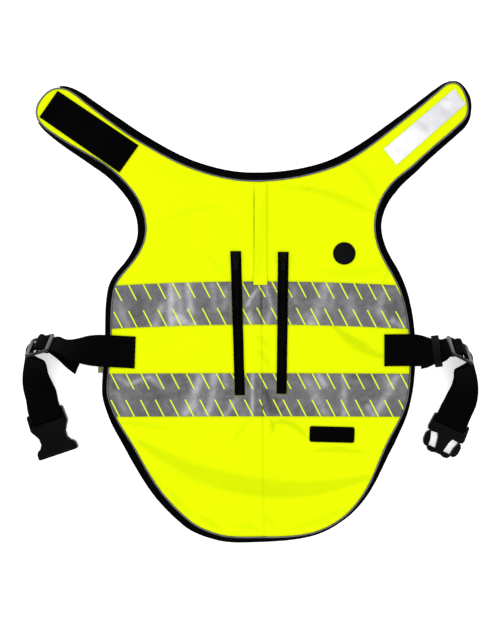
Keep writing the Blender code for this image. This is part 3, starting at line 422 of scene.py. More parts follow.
def beside(fold, points):
    """How far each point is from a fold, and how far along the fold that is, 0 to 1."""
    reach = math.hypot(fold.xm - fold.x0, fold.ym - fold.y0)
    reach += math.hypot(fold.x1 - fold.xm, fold.y1 - fold.ym)
    t = np.linspace(0, 1, max(12, round(reach / 1.5)))
    s = 1 - t
    x = fold.x0 * s * s + fold.xm * 2 * s * t + fold.x1 * t * t
    y = fold.y0 * s * s + fold.ym * 2 * s * t + fold.y1 * t * t
    gaps = gaps_between(points, np.stack([x, y], 1))
    return gaps.min(1), t[gaps.argmin(1)]


def lift_of(folds, points):
    """Height that the folds give the cloth at each point."""
    lift = np.zeros(len(points))
    for fold in folds:
        gap, along = beside(fold, points)
        across = 0.5 + 0.5 * np.cos(np.pi * np.minimum(gap / fold.half_width, 1))
        ends = np.minimum(1, np.minimum(5 * along, 5 * (1 - along)))
        lift += fold.height * across * ends
    return lift


def shade_of(points):
    """How far the cloth is turned from the light: strokes with a flat middle and thin ends."""
    shade = np.zeros(len(points))
    for stroke in SHADES:
        gap, along = beside(stroke, points)
        width = stroke.half_width * (0.3 + 0.7 * np.sin(np.pi * along))
        body = np.clip((1 - gap / width) * 1.7, 0, 1)
        shade += stroke.height * body * body * (3 - 2 * body)
    return np.minimum(shade, 1)


def edge_distance(points):
    """Distance from each point to the edge, in blocks so that the table of gaps stays small."""
    result = np.full(len(points), np.inf)
    for start in range(0, len(EDGE_POINTS), EDGE_BLOCK):
        gaps = gaps_between(points, EDGE_POINTS[start:start + EDGE_BLOCK])
        result = np.minimum(result, gaps.min(1))
    return result


def cloth_lift(points):
    """The whole lift: folds, creases, and a slight swell away from the bound edge."""
    points = np.asarray(points, float)
    inside = np.clip(edge_distance(points) / SWELL_REACH, 0, 1)
    x, y = points[:, 0], points[:, 1]
    swell = 0.35 + 0.25 * np.sin(x / 37 + 0.8) * np.cos(y / 52) + 0.2 * np.sin(x / 19 + y / 28)
    swell = np.maximum(swell, 0) * inside ** 1.5
    return lift_of(FOLDS, points) + lift_of(CREASES, points) * np.clip(inside * 6, 0, 1) + swell


print("folds", len(FOLDS), "creases", len(CREASES))

# %% [markdown]
# ## Woven yellow polyester
# Safety cloth is a close plain weave, dyed so bright that it nearly glows, and it has no gloss of
# its own. Two crossed waves 0.55 mm apart make the threads, fine noise makes the slubs, and
# painted shade turns the colour a little greener where a crease turns away from the light.

# %% Cloth finishes
YELLOW = (0.775, 0.90, 0.0)
YELLOW_SHADE = (0.58, 0.73, 0.0)
THREAD_PITCH = 0.55


def weave(x, y, pitch):
    """Height of a plain weave, 0 to 1, from two directions in millimetres."""
    over = (x * (2 * math.pi / pitch)).math("SINE")
    under = (y * (2 * math.pi / pitch)).math("SINE")
    return over * under * 0.5 + 0.5


def yellow_finish(name):
    """Yellow cloth, and its colour for a material that goes on from there."""
    finish = Finish(name, specular_ior_level=0.04)
    threads = weave(*finish.place(), THREAD_PITCH)
    slub = finish.grain(900.0, 2.0)
    cloud = finish.grain(9.0)
    # painted shade: the SHADES strokes turn the yellow greener where the cloth turns from the light
    turned_away = finish.painted("hollow") + cloud.ramp(0.35, 0.8) * 0.12
    colour = finish.mix(turned_away, YELLOW, YELLOW_SHADE)
    colour = finish.mix(threads * 0.10, colour, YELLOW_SHADE)
    finish.feed("Base Color", colour)
    finish.feed("Roughness", 0.72 + slub * 0.14)
    finish.bump(threads * 0.7 + slub * 0.3, 0.12, 0.5)
    return finish, colour


CLOTH = yellow_finish("hi_vis_cloth")[0].material
print("material", CLOTH.name)

# %% [markdown]
# ## Cutting and laying a flat piece
# A flat piece starts as one face with the outline of the cut. Straight cuts across it, like the
# lines of squared paper, give it enough points to bend. Then every point is lifted by the cloth
# function, and Solidify gives the sheet its thickness. The run attribute remembers where each
# point lay, and hollow holds the painted shade where the cloth turns from the light.

# %% Helpers for flat pieces
CLOTH_PITCH = 3.0
SHEET_THICK = 1.6
TRIM_THICK = 0.9
TRIM_TOP = 3.3


def new_piece(name, bm, material):
    """A bmesh in millimetres becomes a named piece at the origin, in metres."""
    bmesh.ops.scale(bm, vec=(MM, MM, MM), verts=bm.verts)
    mesh = bpy.data.meshes.new(name)
    bm.to_mesh(mesh)
    bm.free()
    mesh.shade_smooth()
    item = bpy.data.objects.new(name, mesh)
    item.data.materials.append(material)
    bpy.context.scene.collection.objects.link(item)
    return item


def put_on(item, node=None, body="vest"):
    """Attach a piece to the body it rides on, and hide the imported node it stands for."""
    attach(item, body)
    if node:
        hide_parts(node)
    return item


def cut_line(bm, place, normal, **options):
    """One straight cut across the whole piece."""
    geometry = bm.verts[:] + bm.edges[:] + bm.faces[:]
    bmesh.ops.bisect_plane(bm, geom=geometry, plane_co=place, plane_no=normal, **options)


def cut_flat(outline, pitch=CLOTH_PITCH):
    """One flat face from the outline, squared into small faces."""
    bm = bmesh.new()
    bm.faces.new([bm.verts.new((x, y, 0.0)) for x, y in outline])
    bm.normal_update()
    if bm.faces[:][0].normal.z < 0:
        bmesh.ops.reverse_faces(bm, faces=bm.faces[:])
    for axis in (1, 0):
        values = [vert.co[axis] for vert in bm.verts]
        low, high = min(values), max(values)
        normal = Vector((axis == 0, axis == 1, 0))
        count = max(1, round((high - low) / pitch))
        for i in range(1, count):
            cut_line(bm, normal * lerp(low, high, i / count), normal, dist=0.01)
    return bm


def flat_area(bm):
    """Area of the cut in square metres, while it is still flat."""
    return sum(face.calc_area() for face in bm.faces) * MM * MM


def lay(name, bm, material, top, thick, extra=None):
    """Lift a flat cut onto the vest, its upper face at the given height, and thicken it."""
    run = bm.verts.layers.float_vector.new("run")
    hollow = bm.verts.layers.float.new("hollow")
    points = np.array([vert.co[:2] for vert in bm.verts])
    heights = cloth_lift(points) + top
    if extra:
        heights = heights + extra(points)
    # painted shade for the cloth's colour, from the SHADES strokes
    for vert, height, shade in zip(bm.verts, heights, shade_of(points)):
        vert[run] = (vert.co.x, vert.co.y, 0.0)
        vert[hollow] = float(shade)
        vert.co.z = float(height)
    item = new_piece(name, bm, material)
    solid = item.modifiers.new("thickness", "SOLIDIFY")
    solid.thickness = thick * MM
    solid.offset = -1.0
    solid.use_even_offset = False
    return item


def declare(item, area):
    """Print how large the cut is when it lies flat, and how many faces the piece has."""
    print(item.name, "area", round(area, 5), "m2, faces", len(item.data.polygons))


def flat_piece(name, outline, material, node, pitch=CLOTH_PITCH, extra=None):
    """A trim or patch laid on the vest."""
    bm = cut_flat(outline, pitch)
    area = flat_area(bm)
    item = put_on(lay(name, bm, material, TRIM_TOP, TRIM_THICK, extra), node)
    declare(item, area)
    return item


def plan_points(item):
    """Where a piece's points lie, seen from above, in millimetres."""
    return np.array([vert.co[:2] for vert in item.data.vertices]) / MM


def paint(item, name, values):
    """Keep a number from 0 to 1 at each point of a piece, for its material."""
    layer = item.data.attributes.new(name, "FLOAT", "POINT")
    layer.data.foreach_set("value", np.clip(values, 0, 1).astype(np.float32))

# %% [markdown]
# ## The two back panels
# A left and a right panel meet at the centre-back seam. On the table their underside is flat and
# their upper face carries every fold, so they are cut from the edge of the pattern and split
# along the seam line.

# %% Back panels
PANEL_TOP = 2.0
PANEL_TUCK = 0.4
SEAM_CUTS = (2.4, 1.0, 0.0)
SEAM_TOP = Vector((11.0, 160.0, 0.0))
SEAM_FOOT = Vector((15.6, -270.0, 0.0))


def seam_x(y):
    t = (y - SEAM_TOP.y) / (SEAM_FOOT.y - SEAM_TOP.y)
    return lerp(SEAM_TOP.x, SEAM_FOOT.x, t)


def seam_dip(points):
    """The seam pulls the cloth down beside it, unevenly."""
    gap = np.abs(points[:, 0] - np.array([seam_x(y) for y in points[:, 1]]))
    ripple = 0.55 + 0.25 * np.sin(points[:, 1] / 6.3) + 0.2 * np.sin(points[:, 1] / 14.1 + 1.3)
    return -0.45 * ripple * np.exp(-(gap / 2.4) ** 2)


def panel(name, side):
    """One half of the shell; side is -1 for the left and 1 for the right."""
    outline = []
    for sample in EDGE:
        (x, y), (dx, dy) = sample.point.xy, sample.outward.xy
        outline.append((x + dx * PANEL_TUCK, y + dy * PANEL_TUCK))
    bm = cut_flat(outline)
    along = (SEAM_FOOT - SEAM_TOP).normalized()
    across = Vector((-along.y, along.x, 0.0)) * side
    for offset in SEAM_CUTS:
        cut_line(bm, SEAM_TOP + across * offset, across, clear_inner=offset == 0)
    area = flat_area(bm)
    item = lay("panel_" + name, bm, CLOTH, PANEL_TOP, SHEET_THICK, seam_dip)
    put_on(item, "shell_" + name)
    declare(item, area)


panel("left", -1)
panel("right", 1)

# %% [markdown]
# ## Sweeping a section
# Piping, binding and webbing all have one section that travels along a path. The first ring of
# edges is extruded from station to station and its points are moved to each new section, so the
# mesh follows the path and never twists. The run attribute gets the distance along and across,
# which lets a weave follow the tape round every bend.

# %% Helper for swept pieces
Station = namedtuple("Station", "points along")


def sweep(stations, across, closed=False):
    """Skin through rings of points; across holds each ring point's place across the tape."""
    bm = bmesh.new()
    run = bm.verts.layers.float_vector.new("run")
    first = [bm.verts.new(point) for point in stations[0].points]
    edges = [bm.edges.new(pair) for pair in zip(first, first[1:] + first[:1])]
    for vert, reach in zip(first, across):
        vert[run] = (stations[0].along, reach, 0.0)
    ring = first
    for station in stations[1:]:
        grown = bmesh.ops.extrude_edge_only(bm, edges=edges)["geom"]
        fresh = {piece for piece in grown if isinstance(piece, bmesh.types.BMVert)}
        ring = [next(e.other_vert(v) for e in v.link_edges if e.other_vert(v) in fresh)
                for v in ring]
        edges = [piece for piece in grown if isinstance(piece, bmesh.types.BMEdge)
                 and piece.verts[0] in fresh and piece.verts[1] in fresh]
        for vert, point, reach in zip(ring, station.points, across):
            vert.co = point
            vert[run] = (station.along, reach, 0.0)
    rims = [e for e in bm.edges if e.is_boundary]
    if closed:
        bmesh.ops.bridge_loops(bm, edges=rims)
    else:
        bmesh.ops.holes_fill(bm, edges=rims, sides=0)
    bmesh.ops.recalc_face_normals(bm, faces=bm.faces[:])
    return bm


def distances(points):
    """Distance along a line of points, in millimetres."""
    result = [0.0]
    for one, other in zip(points, points[1:]):
        result.append(result[-1] + (other - one).length)
    return result

# %% [markdown]
# ## Reflective piping
# A cord wrapped in reflective tape is caught in the seam all round the vest and shows as a thin
# grey line. It is round and a little uneven where the tape is gathered in the bends. Its flanks,
# where it meets the cloth and the binding, are painted near black as painted shade.

# %% Piping
PIPING_RADIUS = 1.15
PIPING_SIDES = 12
PIPING_GIRTH = 7.2
GAP = 0.3


def reflective(name):
    """Grey tape of glass beads, paler and darker in random patches; the bands add painted
    highlights where a crease catches the lamp.
    """
    finish = Finish(name, metallic=0.3, roughness=0.42, specular_ior_level=0.25)
    beads = finish.node("TexVoronoi", {"Vector": finish.object_space(), "Scale": 2600.0})
    cloud = finish.grain(60.0, 4.0)
    broad = finish.grain(14.0, 2.0)
    mottle = finish.grain(150.0, 3.0)
    colour = finish.mix(cloud.ramp(0.35, 0.7), (0.100, 0.100, 0.106), (0.138, 0.137, 0.142))
    colour = finish.mix(mottle.ramp(0.42, 0.64) * 0.38, colour, (0.215, 0.213, 0.220))
    colour = finish.mix(broad.ramp(0.4, 0.75) * 0.4, colour, (0.205, 0.203, 0.210))
    finish.feed("Roughness", 0.36 + cloud * 0.16)
    finish.bump(beads * 0.4 + cloud * 0.6, 0.08, 0.5)
    return finish, colour


piping_finish, piping_colour = reflective("reflective_piping")
across = piping_finish.cloth_run()[1]
# painted shade: the cord's flanks are painted near black
flank_shade = (across - PIPING_GIRTH / 4).math("ABSOLUTE").ramp(0.55, 1.0)
piping_finish.feed("Base Color", piping_finish.mix(flank_shade * 0.9, piping_colour,
                                                   (0.010, 0.010, 0.009)))
angles = [2 * math.pi * i / PIPING_SIDES for i in range(PIPING_SIDES)]
stations = []
travel = distances([sample.point for sample in EDGE])
for sample, along in zip(EDGE, travel):
    centre = sample.point + sample.outward * (GAP + PIPING_RADIUS)
    centre.z = GAP + PIPING_RADIUS
    radius = PIPING_RADIUS * (1 + 0.05 * math.sin(along / 2.9))
    ring = [centre + sample.outward * math.cos(angle) * radius
            + Vector((0, 0, math.sin(angle) * radius)) for angle in angles]
    stations.append(Station(ring, along))
bm = sweep(stations, [i / PIPING_SIDES * PIPING_GIRTH for i in range(PIPING_SIDES)], closed=True)
piping = put_on(new_piece("reflective_piping", bm, piping_finish.material),
                "piping")
print(piping.name, "length", round(travel[-1]), "mm")

# %% [markdown]
# ## Black binding
# Folded tape closes the raw edge outside the piping. Its width comes and goes as it was pulled
# round the curves. Real binding is woven with fine cross ribs, and its stitches gather it into
# slight puckers, so the sweep's height breathes a little along the way.

# %% Binding
BINDING_THICK = 2.8
BLACK_DEEP = (0.0004, 0.0004, 0.0006)
BLACK_WORN = (0.002, 0.002, 0.0025)
BindingRun = namedtuple("BindingRun", "name first last")
BINDING_RUNS = [
    BindingRun("binding_neck", "tip_left_top", "tip_right_top"),
    BindingRun("binding_arm_right", "tip_right_top", "armhole_right"),
    BindingRun("binding_side_right", "armhole_right", "hip_right"),
    BindingRun("binding_hem", "hip_right", "hip_left"),
    BindingRun("binding_side_left", "hip_left", "armhole_left"),
    BindingRun("binding_arm_left", "armhole_left", "tip_left_low"),
]
BINDING_SECTION = [(0.0, 0.0), (0.0, 0.45), (0.03, 0.8), (0.12, 0.97), (0.3, 1.0), (0.5, 1.0),
                   (0.72, 1.0), (0.88, 0.86), (0.97, 0.6), (1.0, 0.3), (1.0, 0.0), (0.5, 0.0)]


def ribbed_black(name, rib):
    """Black woven tape with cross ribs that follow its run."""
    finish = Finish(name, specular_ior_level=0.015)
    along, across = finish.cloth_run()
    ribs = (along * (2 * math.pi / rib)).math("SINE") * 0.5 + 0.5
    cords = (across * (2 * math.pi / (rib * 1.7))).math("SINE") * 0.5 + 0.5
    fuzz = finish.grain(700.0, 2.0)
    wear = finish.grain(22.0)
    shade = ribs * 0.35 + wear.ramp(0.4, 0.8) * 0.65
    finish.feed("Base Color", finish.mix(shade, BLACK_DEEP, BLACK_WORN))
    finish.feed("Roughness", 0.66 + fuzz * 0.2)
    finish.bump(ribs * 0.6 + cords * 0.2 + fuzz * 0.2, 0.16, 0.7)
    return finish.material


BINDING_BLACK = ribbed_black("binding_tape", 0.9)
names = [sample.name for sample in EDGE]
inner = 2 * PIPING_RADIUS + GAP
for binding in BINDING_RUNS:
    first = names.index(binding.first)
    count = (names.index(binding.last) - first) % len(EDGE)
    stretch = [EDGE[(first + i) % len(EDGE)] for i in range(count + 1)]
    travel = distances([sample.point for sample in stretch])
    stations = []
    for sample, along in zip(stretch, travel):
        pucker = 1 + 0.035 * math.sin(along / 3.1) + 0.03 * math.sin(along / 7.7 + 1)
        ring = []
        for reach, height in BINDING_SECTION:
            flat = sample.point + sample.outward * (inner + sample.border * reach)
            ring.append(Vector((flat.x, flat.y, height * BINDING_THICK * pucker)))
        stations.append(Station(ring, along))
    bm = sweep(stations, [reach * 9.0 for reach, height in BINDING_SECTION])
    item = new_piece(binding.name + "_tape", bm, BINDING_BLACK)
    put_on(item, binding.name)
    widths = [sample.border + BINDING_THICK for sample in stretch]
    area = sum((b - a) * w for a, b, w in zip(travel, travel[1:], widths)) * MM * MM
    max(widths) * MM
    print(item.name, "length", round(travel[-1]), "mm")

# %% [markdown]
# ## Slashed reflective tape
# Two bands of heat-set reflective tape cross the vest. Slanting slits let the yellow show through,
# in two rows that the bands' solid middle keeps apart. The slits repeat at an even pitch, so the
# material works them out from the distance along the band; the pitch starts afresh at each zip and
# seam. Where the tape ripples, its tiny glass beads would turn to the lamp and light up, so those
# streaks get painted highlights, and where it sinks into a crease it gets painted shade. One table
# holds the lit streaks and one the creases. They shape the tape by a third of a millimetre, and are
# kept at its points for the painted colour.

# %% Slashed tape
Band = namedtuple("Band", "top foot bow")
BAND_UPPER = Band(32.0, -18.6, 5.0)
BAND_LOWER = Band(-72.0, -122.6, 0.6)
BAND_PITCH = 2.4
END_STEPS = 8
LONG_STEPS = 24
BOW_MIDDLE = 9.0
BOW_HALF = 172.0
FAR = 400
SEAM_CLEAR = 0.15
EDGE_TUCK = 0.3
ZIP_CLEAR = 0.4
FLANK = 60
SLIT_LEAN = 0.516
SLIT_HALF = 0.8
UPPER_ROW_DEPTH = 18.4
LOWER_ROW_DEPTH = 19.8
SlitRow = namedtuple("SlitRow", "at_y first pitch low high", defaults=(-FAR, FAR))
BandPiece = namedtuple("BandPiece", "name band left right upper_rows lower_rows")
Zip = namedtuple("Zip", "x_top y_top x_end y_end")
ZIPS = {
    "left": Zip(-17.7, 73.0, -12.8, -97.0),
    "right": Zip(38.5, 72.2, 36.6, -95.4),
}
ZIP_WIDTH_TOP = 12.8
ZIP_WIDTH_END = 11.6
BAND_PIECES = [
    BandPiece("band_upper_left", BAND_UPPER, "edge", "left",
              [SlitRow(27.1, -158.8, 17.68)], [SlitRow(-8.4, -156.5, 17.76)]),
    BandPiece("band_upper_mid_left", BAND_UPPER, "left", "seam",
              [SlitRow(27.1, -5.5, 17.8)], [SlitRow(-8.4, -2.5, 17.2)]),
    BandPiece("band_upper_mid_right", BAND_UPPER, "seam", "right",
              [SlitRow(27.1, 12.8, 17.2)], [SlitRow(-8.4, 14.6, 17.2)]),
    BandPiece("band_upper_right", BAND_UPPER, "right", "edge",
              [SlitRow(27.1, 60.8, 16.28)], [SlitRow(-8.4, 44.8, 16.5)]),
    BandPiece("band_lower_left", BAND_LOWER, "edge", "seam",
              [SlitRow(-79.4, -161.2, 17.84, high=-13), SlitRow(-79.4, -2.8, 16.8, low=-13)],
              [SlitRow(-115.0, -158.8, 17.56)]),
    BandPiece("band_lower_right", BAND_LOWER, "seam", "edge",
              [SlitRow(-79.4, 14.0, 16.8, high=37), SlitRow(-79.4, 76.9, 17.33, low=37)],
              [SlitRow(-115.0, 14.2, 19.0, high=37.5), SlitRow(-115.0, 44.8, 17.05, low=37.5)]),
]
GLINTS = [
    Fold("upper_streak_one", -94, 46, -93, 10, -95, -32, 0.8, 7),
    Fold("upper_streak_two", -74, 46, -75, 18, -68, -6, 0.8, 6.5),
    Fold("between_streaks", -86, 40, -84, 10, -82, -26, 0.35, 7),
    Fold("lit_corner", -104, 16, -108, -2, -116, -28, 0.5, 7),
    Fold("lit_corner_low", -92, -2, -80, -8, -60, -20, 0.65, 7),
    Fold("upper_left_end", -157, 18, -153, 0, -142, -26, 0.3, 7),
    Fold("left_of_zip", -46, 42, -45, 16, -40, -2, 0.3, 6),
    Fold("beside_left_zip", -30, 34, -30, 16, -32, 0, 0.25, 5),
    Fold("between_left", -6, 4, -2, 16, 11, 32, 0.7, 3),
    Fold("between_left_low", -3, 6, -1, -6, 2, -28, 0.65, 5),
    Fold("between_right", 17, 38, 21, 16, 27, 0, 0.6, 3),
    Fold("between_right_low", 24, 4, 20, -8, 18, -26, 0.3, 5),
    Fold("right_smudge", 93, 44, 82, 12, 68, -28, 0.42, 11),
    Fold("right_smudge_low", 62, 2, 70, -8, 76, -24, 0.35, 6),
    Fold("right_smudge_side", 100, 24, 95, 12, 92, -2, 0.25, 6),
    Fold("beside_right_zip", 48, 38, 50, 24, 54, 8, 0.25, 5),
    Fold("right_middle", 116, 24, 118, 8, 120, -8, 0.25, 8),
    Fold("far_right_high", 158, 32, 154, 12, 148, -4, 0.3, 7),
    Fold("far_right_low", 150, 6, 158, -6, 166, -26, 0.3, 5),
    Fold("far_right_corner", 164, -6, 172, -12, 184, -20, 0.5, 5),
    Fold("lower_left_end", -162, -72, -150, -79, -140, -88, 0.5, 5),
    Fold("lower_left_crease", -142, -84, -130, -79, -116, -74, 0.5, 4),
    Fold("lower_left_crease_end", -124, -74, -112, -80, -102, -92, 0.4, 5),
    Fold("lower_left_foot", -162, -90, -154, -102, -144, -122, 0.25, 7),
    Fold("lower_streak", -58, -62, -62, -96, -84, -132, 0.65, 8),
    Fold("lower_streak_two", -44, -62, -42, -88, -54, -130, 0.65, 7),
    Fold("lower_streak_low", -70, -104, -64, -116, -58, -132, 0.35, 8),
    Fold("left_zip_side", -31, -66, -30, -78, -28, -92, 0.35, 5),
    Fold("centre_line", 2.4, -60, 2.2, -98, 1.4, -132, 0.8, 3),
    Fold("centre_slope", -34, -128, -25, -114, -15, -98, 0.6, 5),
    Fold("centre_slope_low", -18, -98, -13, -110, -8, -128, 0.4, 4),
    Fold("right_fleck", 76, -66, 83, -78, 90, -90, 0.65, 6),
    Fold("right_slope", 62, -70, 74, -96, 96, -132, 0.42, 8),
    Fold("right_streak", 108, -64, 112, -100, 109, -132, 0.5, 5),
    Fold("right_streak_two", 136, -106, 142, -116, 148, -132, 0.4, 6),
    Fold("right_end", 178, -66, 160, -94, 146, -126, 0.5, 7),
    Fold("right_end_edge", 152, -70, 160, -80, 172, -92, 0.3, 5),
]
TAPE_CREASES = [
    Fold("seam_upper", 12, 30, 12.5, 8, 12, -14, 0.5, 3.5),
    Fold("far_right_upper", 170, 20, 172, 4, 176, -12, 0.5, 6),
    Fold("beside_seam", 16, -86, 21, -102, 27, -121, 0.8, 6),
    Fold("left_zip_foot", -19, -99, -13, -110, -9, -121, 0.5, 5),
    Fold("right_zip_foot", 31, -98, 28, -108, 31, -121, 0.7, 3.5),
    Fold("under_strap", 117, -75, 134, -76, 151, -75, 0.7, 5),
    Fold("left_lower", -112, -78, -108, -98, -116, -118, 0.3, 10),
    Fold("beside_streak", -44, -80, -50, -96, -52, -116, 0.35, 8),
    Fold("left_upper", -134, 30, -128, 10, -138, -12, 0.3, 9),
]
GLOW_SHARE = 0.3
GLOW_SPREAD = 2.2
GLOWS = [fold._replace(height=fold.height * GLOW_SHARE, half_width=fold.half_width * GLOW_SPREAD)
         for fold in GLINTS]
GLINT_LIGHT = 0.8
GLOW_LIGHT = 0.75
GLINT_RISE = 0.3
CREASE_DEPTH = 0.35


def zip_line(side, y):
    """Centre and half width of a zip at a height."""
    line = ZIPS[side]
    t = (line.y_top - y) / (line.y_top - line.y_end)
    return lerp(line.x_top, line.x_end, t), lerp(ZIP_WIDTH_TOP, ZIP_WIDTH_END, t) / 2


def edge_x(y, side):
    """Where the flank's edge is at a height, on the left (-1) or right (1)."""
    best = 0.0
    for one, other in zip(EDGE, EDGE[1:] + EDGE[:1]):
        a, b = one.point, other.point
        if (a.y - y) * (b.y - y) <= 0 and abs(a.y - b.y) > 1e-6 and a.x * side > FLANK:
            x = lerp(a.x, b.x, (y - a.y) / (b.y - a.y))
            best = x if abs(x) < abs(best) or best == 0.0 else best
    return best


def side_line(kind, direction, y):
    """A band's end at a height: at the edge, a zip or the seam; direction points into the band."""
    if kind == "seam":
        return seam_x(y) + direction * SEAM_CLEAR
    if kind == "edge":
        return edge_x(y, -direction) - direction * EDGE_TUCK
    centre, half = zip_line(kind, y)
    return centre + direction * (half + ZIP_CLEAR)


def bow_of(band, x):
    """How far a band has bowed upwards at x, which may be a number, an array or a socket."""
    drift = (x - BOW_MIDDLE) / BOW_HALF
    return (1 - drift * drift) * band.bow


def band_outline(piece):
    """Outline of one stretch of band, notched where a zip ends in it."""
    band = piece.band
    heights = [lerp(band.foot, band.top, i / END_STEPS) for i in range(END_STEPS + 1)]

    def end_run(kind, direction, order):
        points = []
        for v in order:
            y = v + bow_of(band, side_line(kind, direction, v))
            points.append((side_line(kind, direction, y), y))
        return points

    def long_run(start, end, height):
        between = [lerp(start[0], end[0], i / LONG_STEPS) for i in range(1, LONG_STEPS)]
        return [(x, height + bow_of(band, x)) for x in between]

    left = end_run(piece.left, 1, heights)
    right = end_run(piece.right, -1, heights[::-1])
    top = long_run(left[-1], right[0], band.top)
    foot = long_run(right[-1], left[0], band.foot)
    if band is BAND_LOWER:
        side = piece.name.split("_")[-1]
        end = ZIPS[side].y_end - ZIP_CLEAR
        rim = band.top + bow_of(band, 0)
        notch = [(side_line(side, d, y), y)
                 for y, d in ((rim, -1), (end, -1), (end, 1), (rim, 1))]
        before = [p for p in top if p[0] < notch[0][0] - 1]
        after = [p for p in top if p[0] > notch[-1][0] + 1]
        top = before + notch + after
    return left + top + right + foot


def slashed_tape(piece):
    """Reflective tape with its two rows of slits, painted highlights and painted crease shade."""
    finish, colour = reflective(piece.name)
    band = piece.band
    x, y = finish.place()
    v = y - bow_of(band, x)
    above = v.ramp(band.top - UPPER_ROW_DEPTH - 0.3, band.top - UPPER_ROW_DEPTH + 0.3)
    below = 1.0 - v.ramp(band.foot + LOWER_ROW_DEPTH - 0.3, band.foot + LOWER_ROW_DEPTH + 0.3)
    rows = [(row, above) for row in piece.upper_rows]
    rows += [(row, below) for row in piece.lower_rows]
    slits = 0.0
    for row, inside in rows:
        along = x + (y - row.at_y) * SLIT_LEAN - row.first
        turn = (along / row.pitch + 0.5) % 1.0
        gap = (turn - 0.5).math("ABSOLUTE") * row.pitch
        cut = (1.0 - gap.ramp(SLIT_HALF - 0.3, SLIT_HALF + 0.3)) * inside
        if row.low > -FAR:
            cut = cut * x.ramp(row.low - 0.05, row.low + 0.05)
        if row.high < FAR:
            cut = cut * (1.0 - x.ramp(row.high - 0.05, row.high + 0.05))
        slits = slits + cut
    smear = finish.grain(75.0, 4.0)
    speck = finish.grain(520.0, 2.0)
    streaks = smear.ramp(0.3, 0.65) * 0.45 + 0.55
    # painted highlights on the lit streaks, and painted shade in the tape's creases
    lit = finish.painted("glint") * streaks * (speck * 0.7 + 0.6)
    colour = finish.mix(lit, colour, (0.58, 0.57, 0.605))
    painted_crease_shade = finish.painted("crease") * (smear * 0.6 + 0.5)
    colour = finish.mix(painted_crease_shade, colour, (0.030, 0.034, 0.032))
    finish.feed("Base Color", finish.mix(slits, colour, YELLOW))
    finish.feed("Metallic", 0.3 - slits * 0.3)
    return finish.material


def tape_ripple(points):
    """Small ridges under the lit streaks and troughs in the creases."""
    return lift_of(GLINTS, points) * GLINT_RISE - lift_of(TAPE_CREASES, points) * CREASE_DEPTH


for piece in BAND_PIECES:
    item = flat_piece(piece.name.replace("band", "tape"), band_outline(piece),
                      slashed_tape(piece), piece.name,
                      BAND_PITCH, tape_ripple)
    points = plan_points(item)
    # painted highlight and painted crease shade amounts, kept at the tape's points
    lit = lift_of(GLINTS, points) * GLINT_LIGHT + lift_of(GLOWS, points) * GLOW_LIGHT
    paint(item, "glint", lit)
    paint(item, "crease", lift_of(TAPE_CREASES, points))

# %% [markdown]
# ## Placket over the leash opening
# A strip of the same yellow cloth runs from the neck over the seam and ends on top of the upper
# band. It is sewn down its long sides. The left side has sunk, and its thin shadow, darkest
# halfway up, is painted into the cloth as a dark line that wavers in strength.

# %% Placket
PLACKET_LEFT = 3.4
PLACKET_RIGHT = 19.4
PLACKET_END = 33.0
PLACKET_SEAMS = (PLACKET_LEFT + 1.5, PLACKET_RIGHT - 1.5)
SEAM_DEPTHS = (0.5, 0.12)
RISE_START = 44.0
SHADOW_X = 4.0


def placket_step(points):
    """The end of the strip climbs over the band, and its sewn sides dip."""
    y = points[:, 1]
    rise = np.clip((RISE_START - y) / 4, 0, 1) * 1.3
    for x, depth in zip(PLACKET_SEAMS, SEAM_DEPTHS):
        rise -= depth * np.exp(-((points[:, 0] - x) / 1.1) ** 2)
    return rise


def placket_cloth():
    """Yellow cloth with the painted shadow of its sunken left side."""
    finish, colour = yellow_finish("placket_cloth")
    x, y = finish.place()
    waver = finish.grain(60.0, 2.0).ramp(0.3, 0.6) * 0.5 + 0.5
    # painted shadow: a dark line beside the sunken left side
    line = (1.0 - (x - SHADOW_X).math("ABSOLUTE").ramp(0.15, 0.75)) * waver
    core = y.ramp(62, 100) * (1.0 - y.ramp(132, 150))
    whole = y.ramp(36, 60) * (1.0 - y.ramp(140, 152))
    line = line * (core * 0.55 + whole * 0.35)
    finish.feed("Base Color", finish.mix(line, colour, (0.20, 0.22, 0.0)))
    return finish.material


neck_y = PATTERN[0].y - 0.6
outline = [(PLACKET_LEFT, PLACKET_END), (PLACKET_RIGHT, PLACKET_END),
           (PLACKET_RIGHT, neck_y), (PLACKET_LEFT, neck_y)]
flat_piece("placket_strip", outline, placket_cloth(), "placket",
           1.4, placket_step)

# %% [markdown]
# ## Zips
# Each zip is a woven tape with a nylon coil down the middle. The coil is a row of little loops,
# left and right by turns, so one low ball is made, squashed, and repeated along the line.

# %% Zip tapes and coils
TAPE_BLACK = ribbed_black("zip_tape_black", 0.8)
COIL_HALF = 1.8
COIL_PITCH = 1.3
COIL_LEAN = 0.12
COIL_TOP = 3.62
COIL_RADII = (1.05, 0.52, 0.38)


def plain_black(name, low, high, roughness, bump, level, scale=900.0):
    """Black moulded or cast surface: a little cloudy, finely grained."""
    finish = Finish(name, specular_ior_level=level)
    cloud = finish.grain(45.0)
    grain = finish.grain(scale, 2.0)
    finish.feed("Base Color", finish.mix(cloud.ramp(0.3, 0.75), low, high))
    finish.feed("Roughness", roughness - 0.06 + grain * 0.12)
    finish.bump(grain, bump, 0.6)
    return finish.material


NYLON = plain_black("zip_nylon", (0.0012, 0.0012, 0.0016), (0.004, 0.004, 0.005), 0.4, 0.05, 0.06)


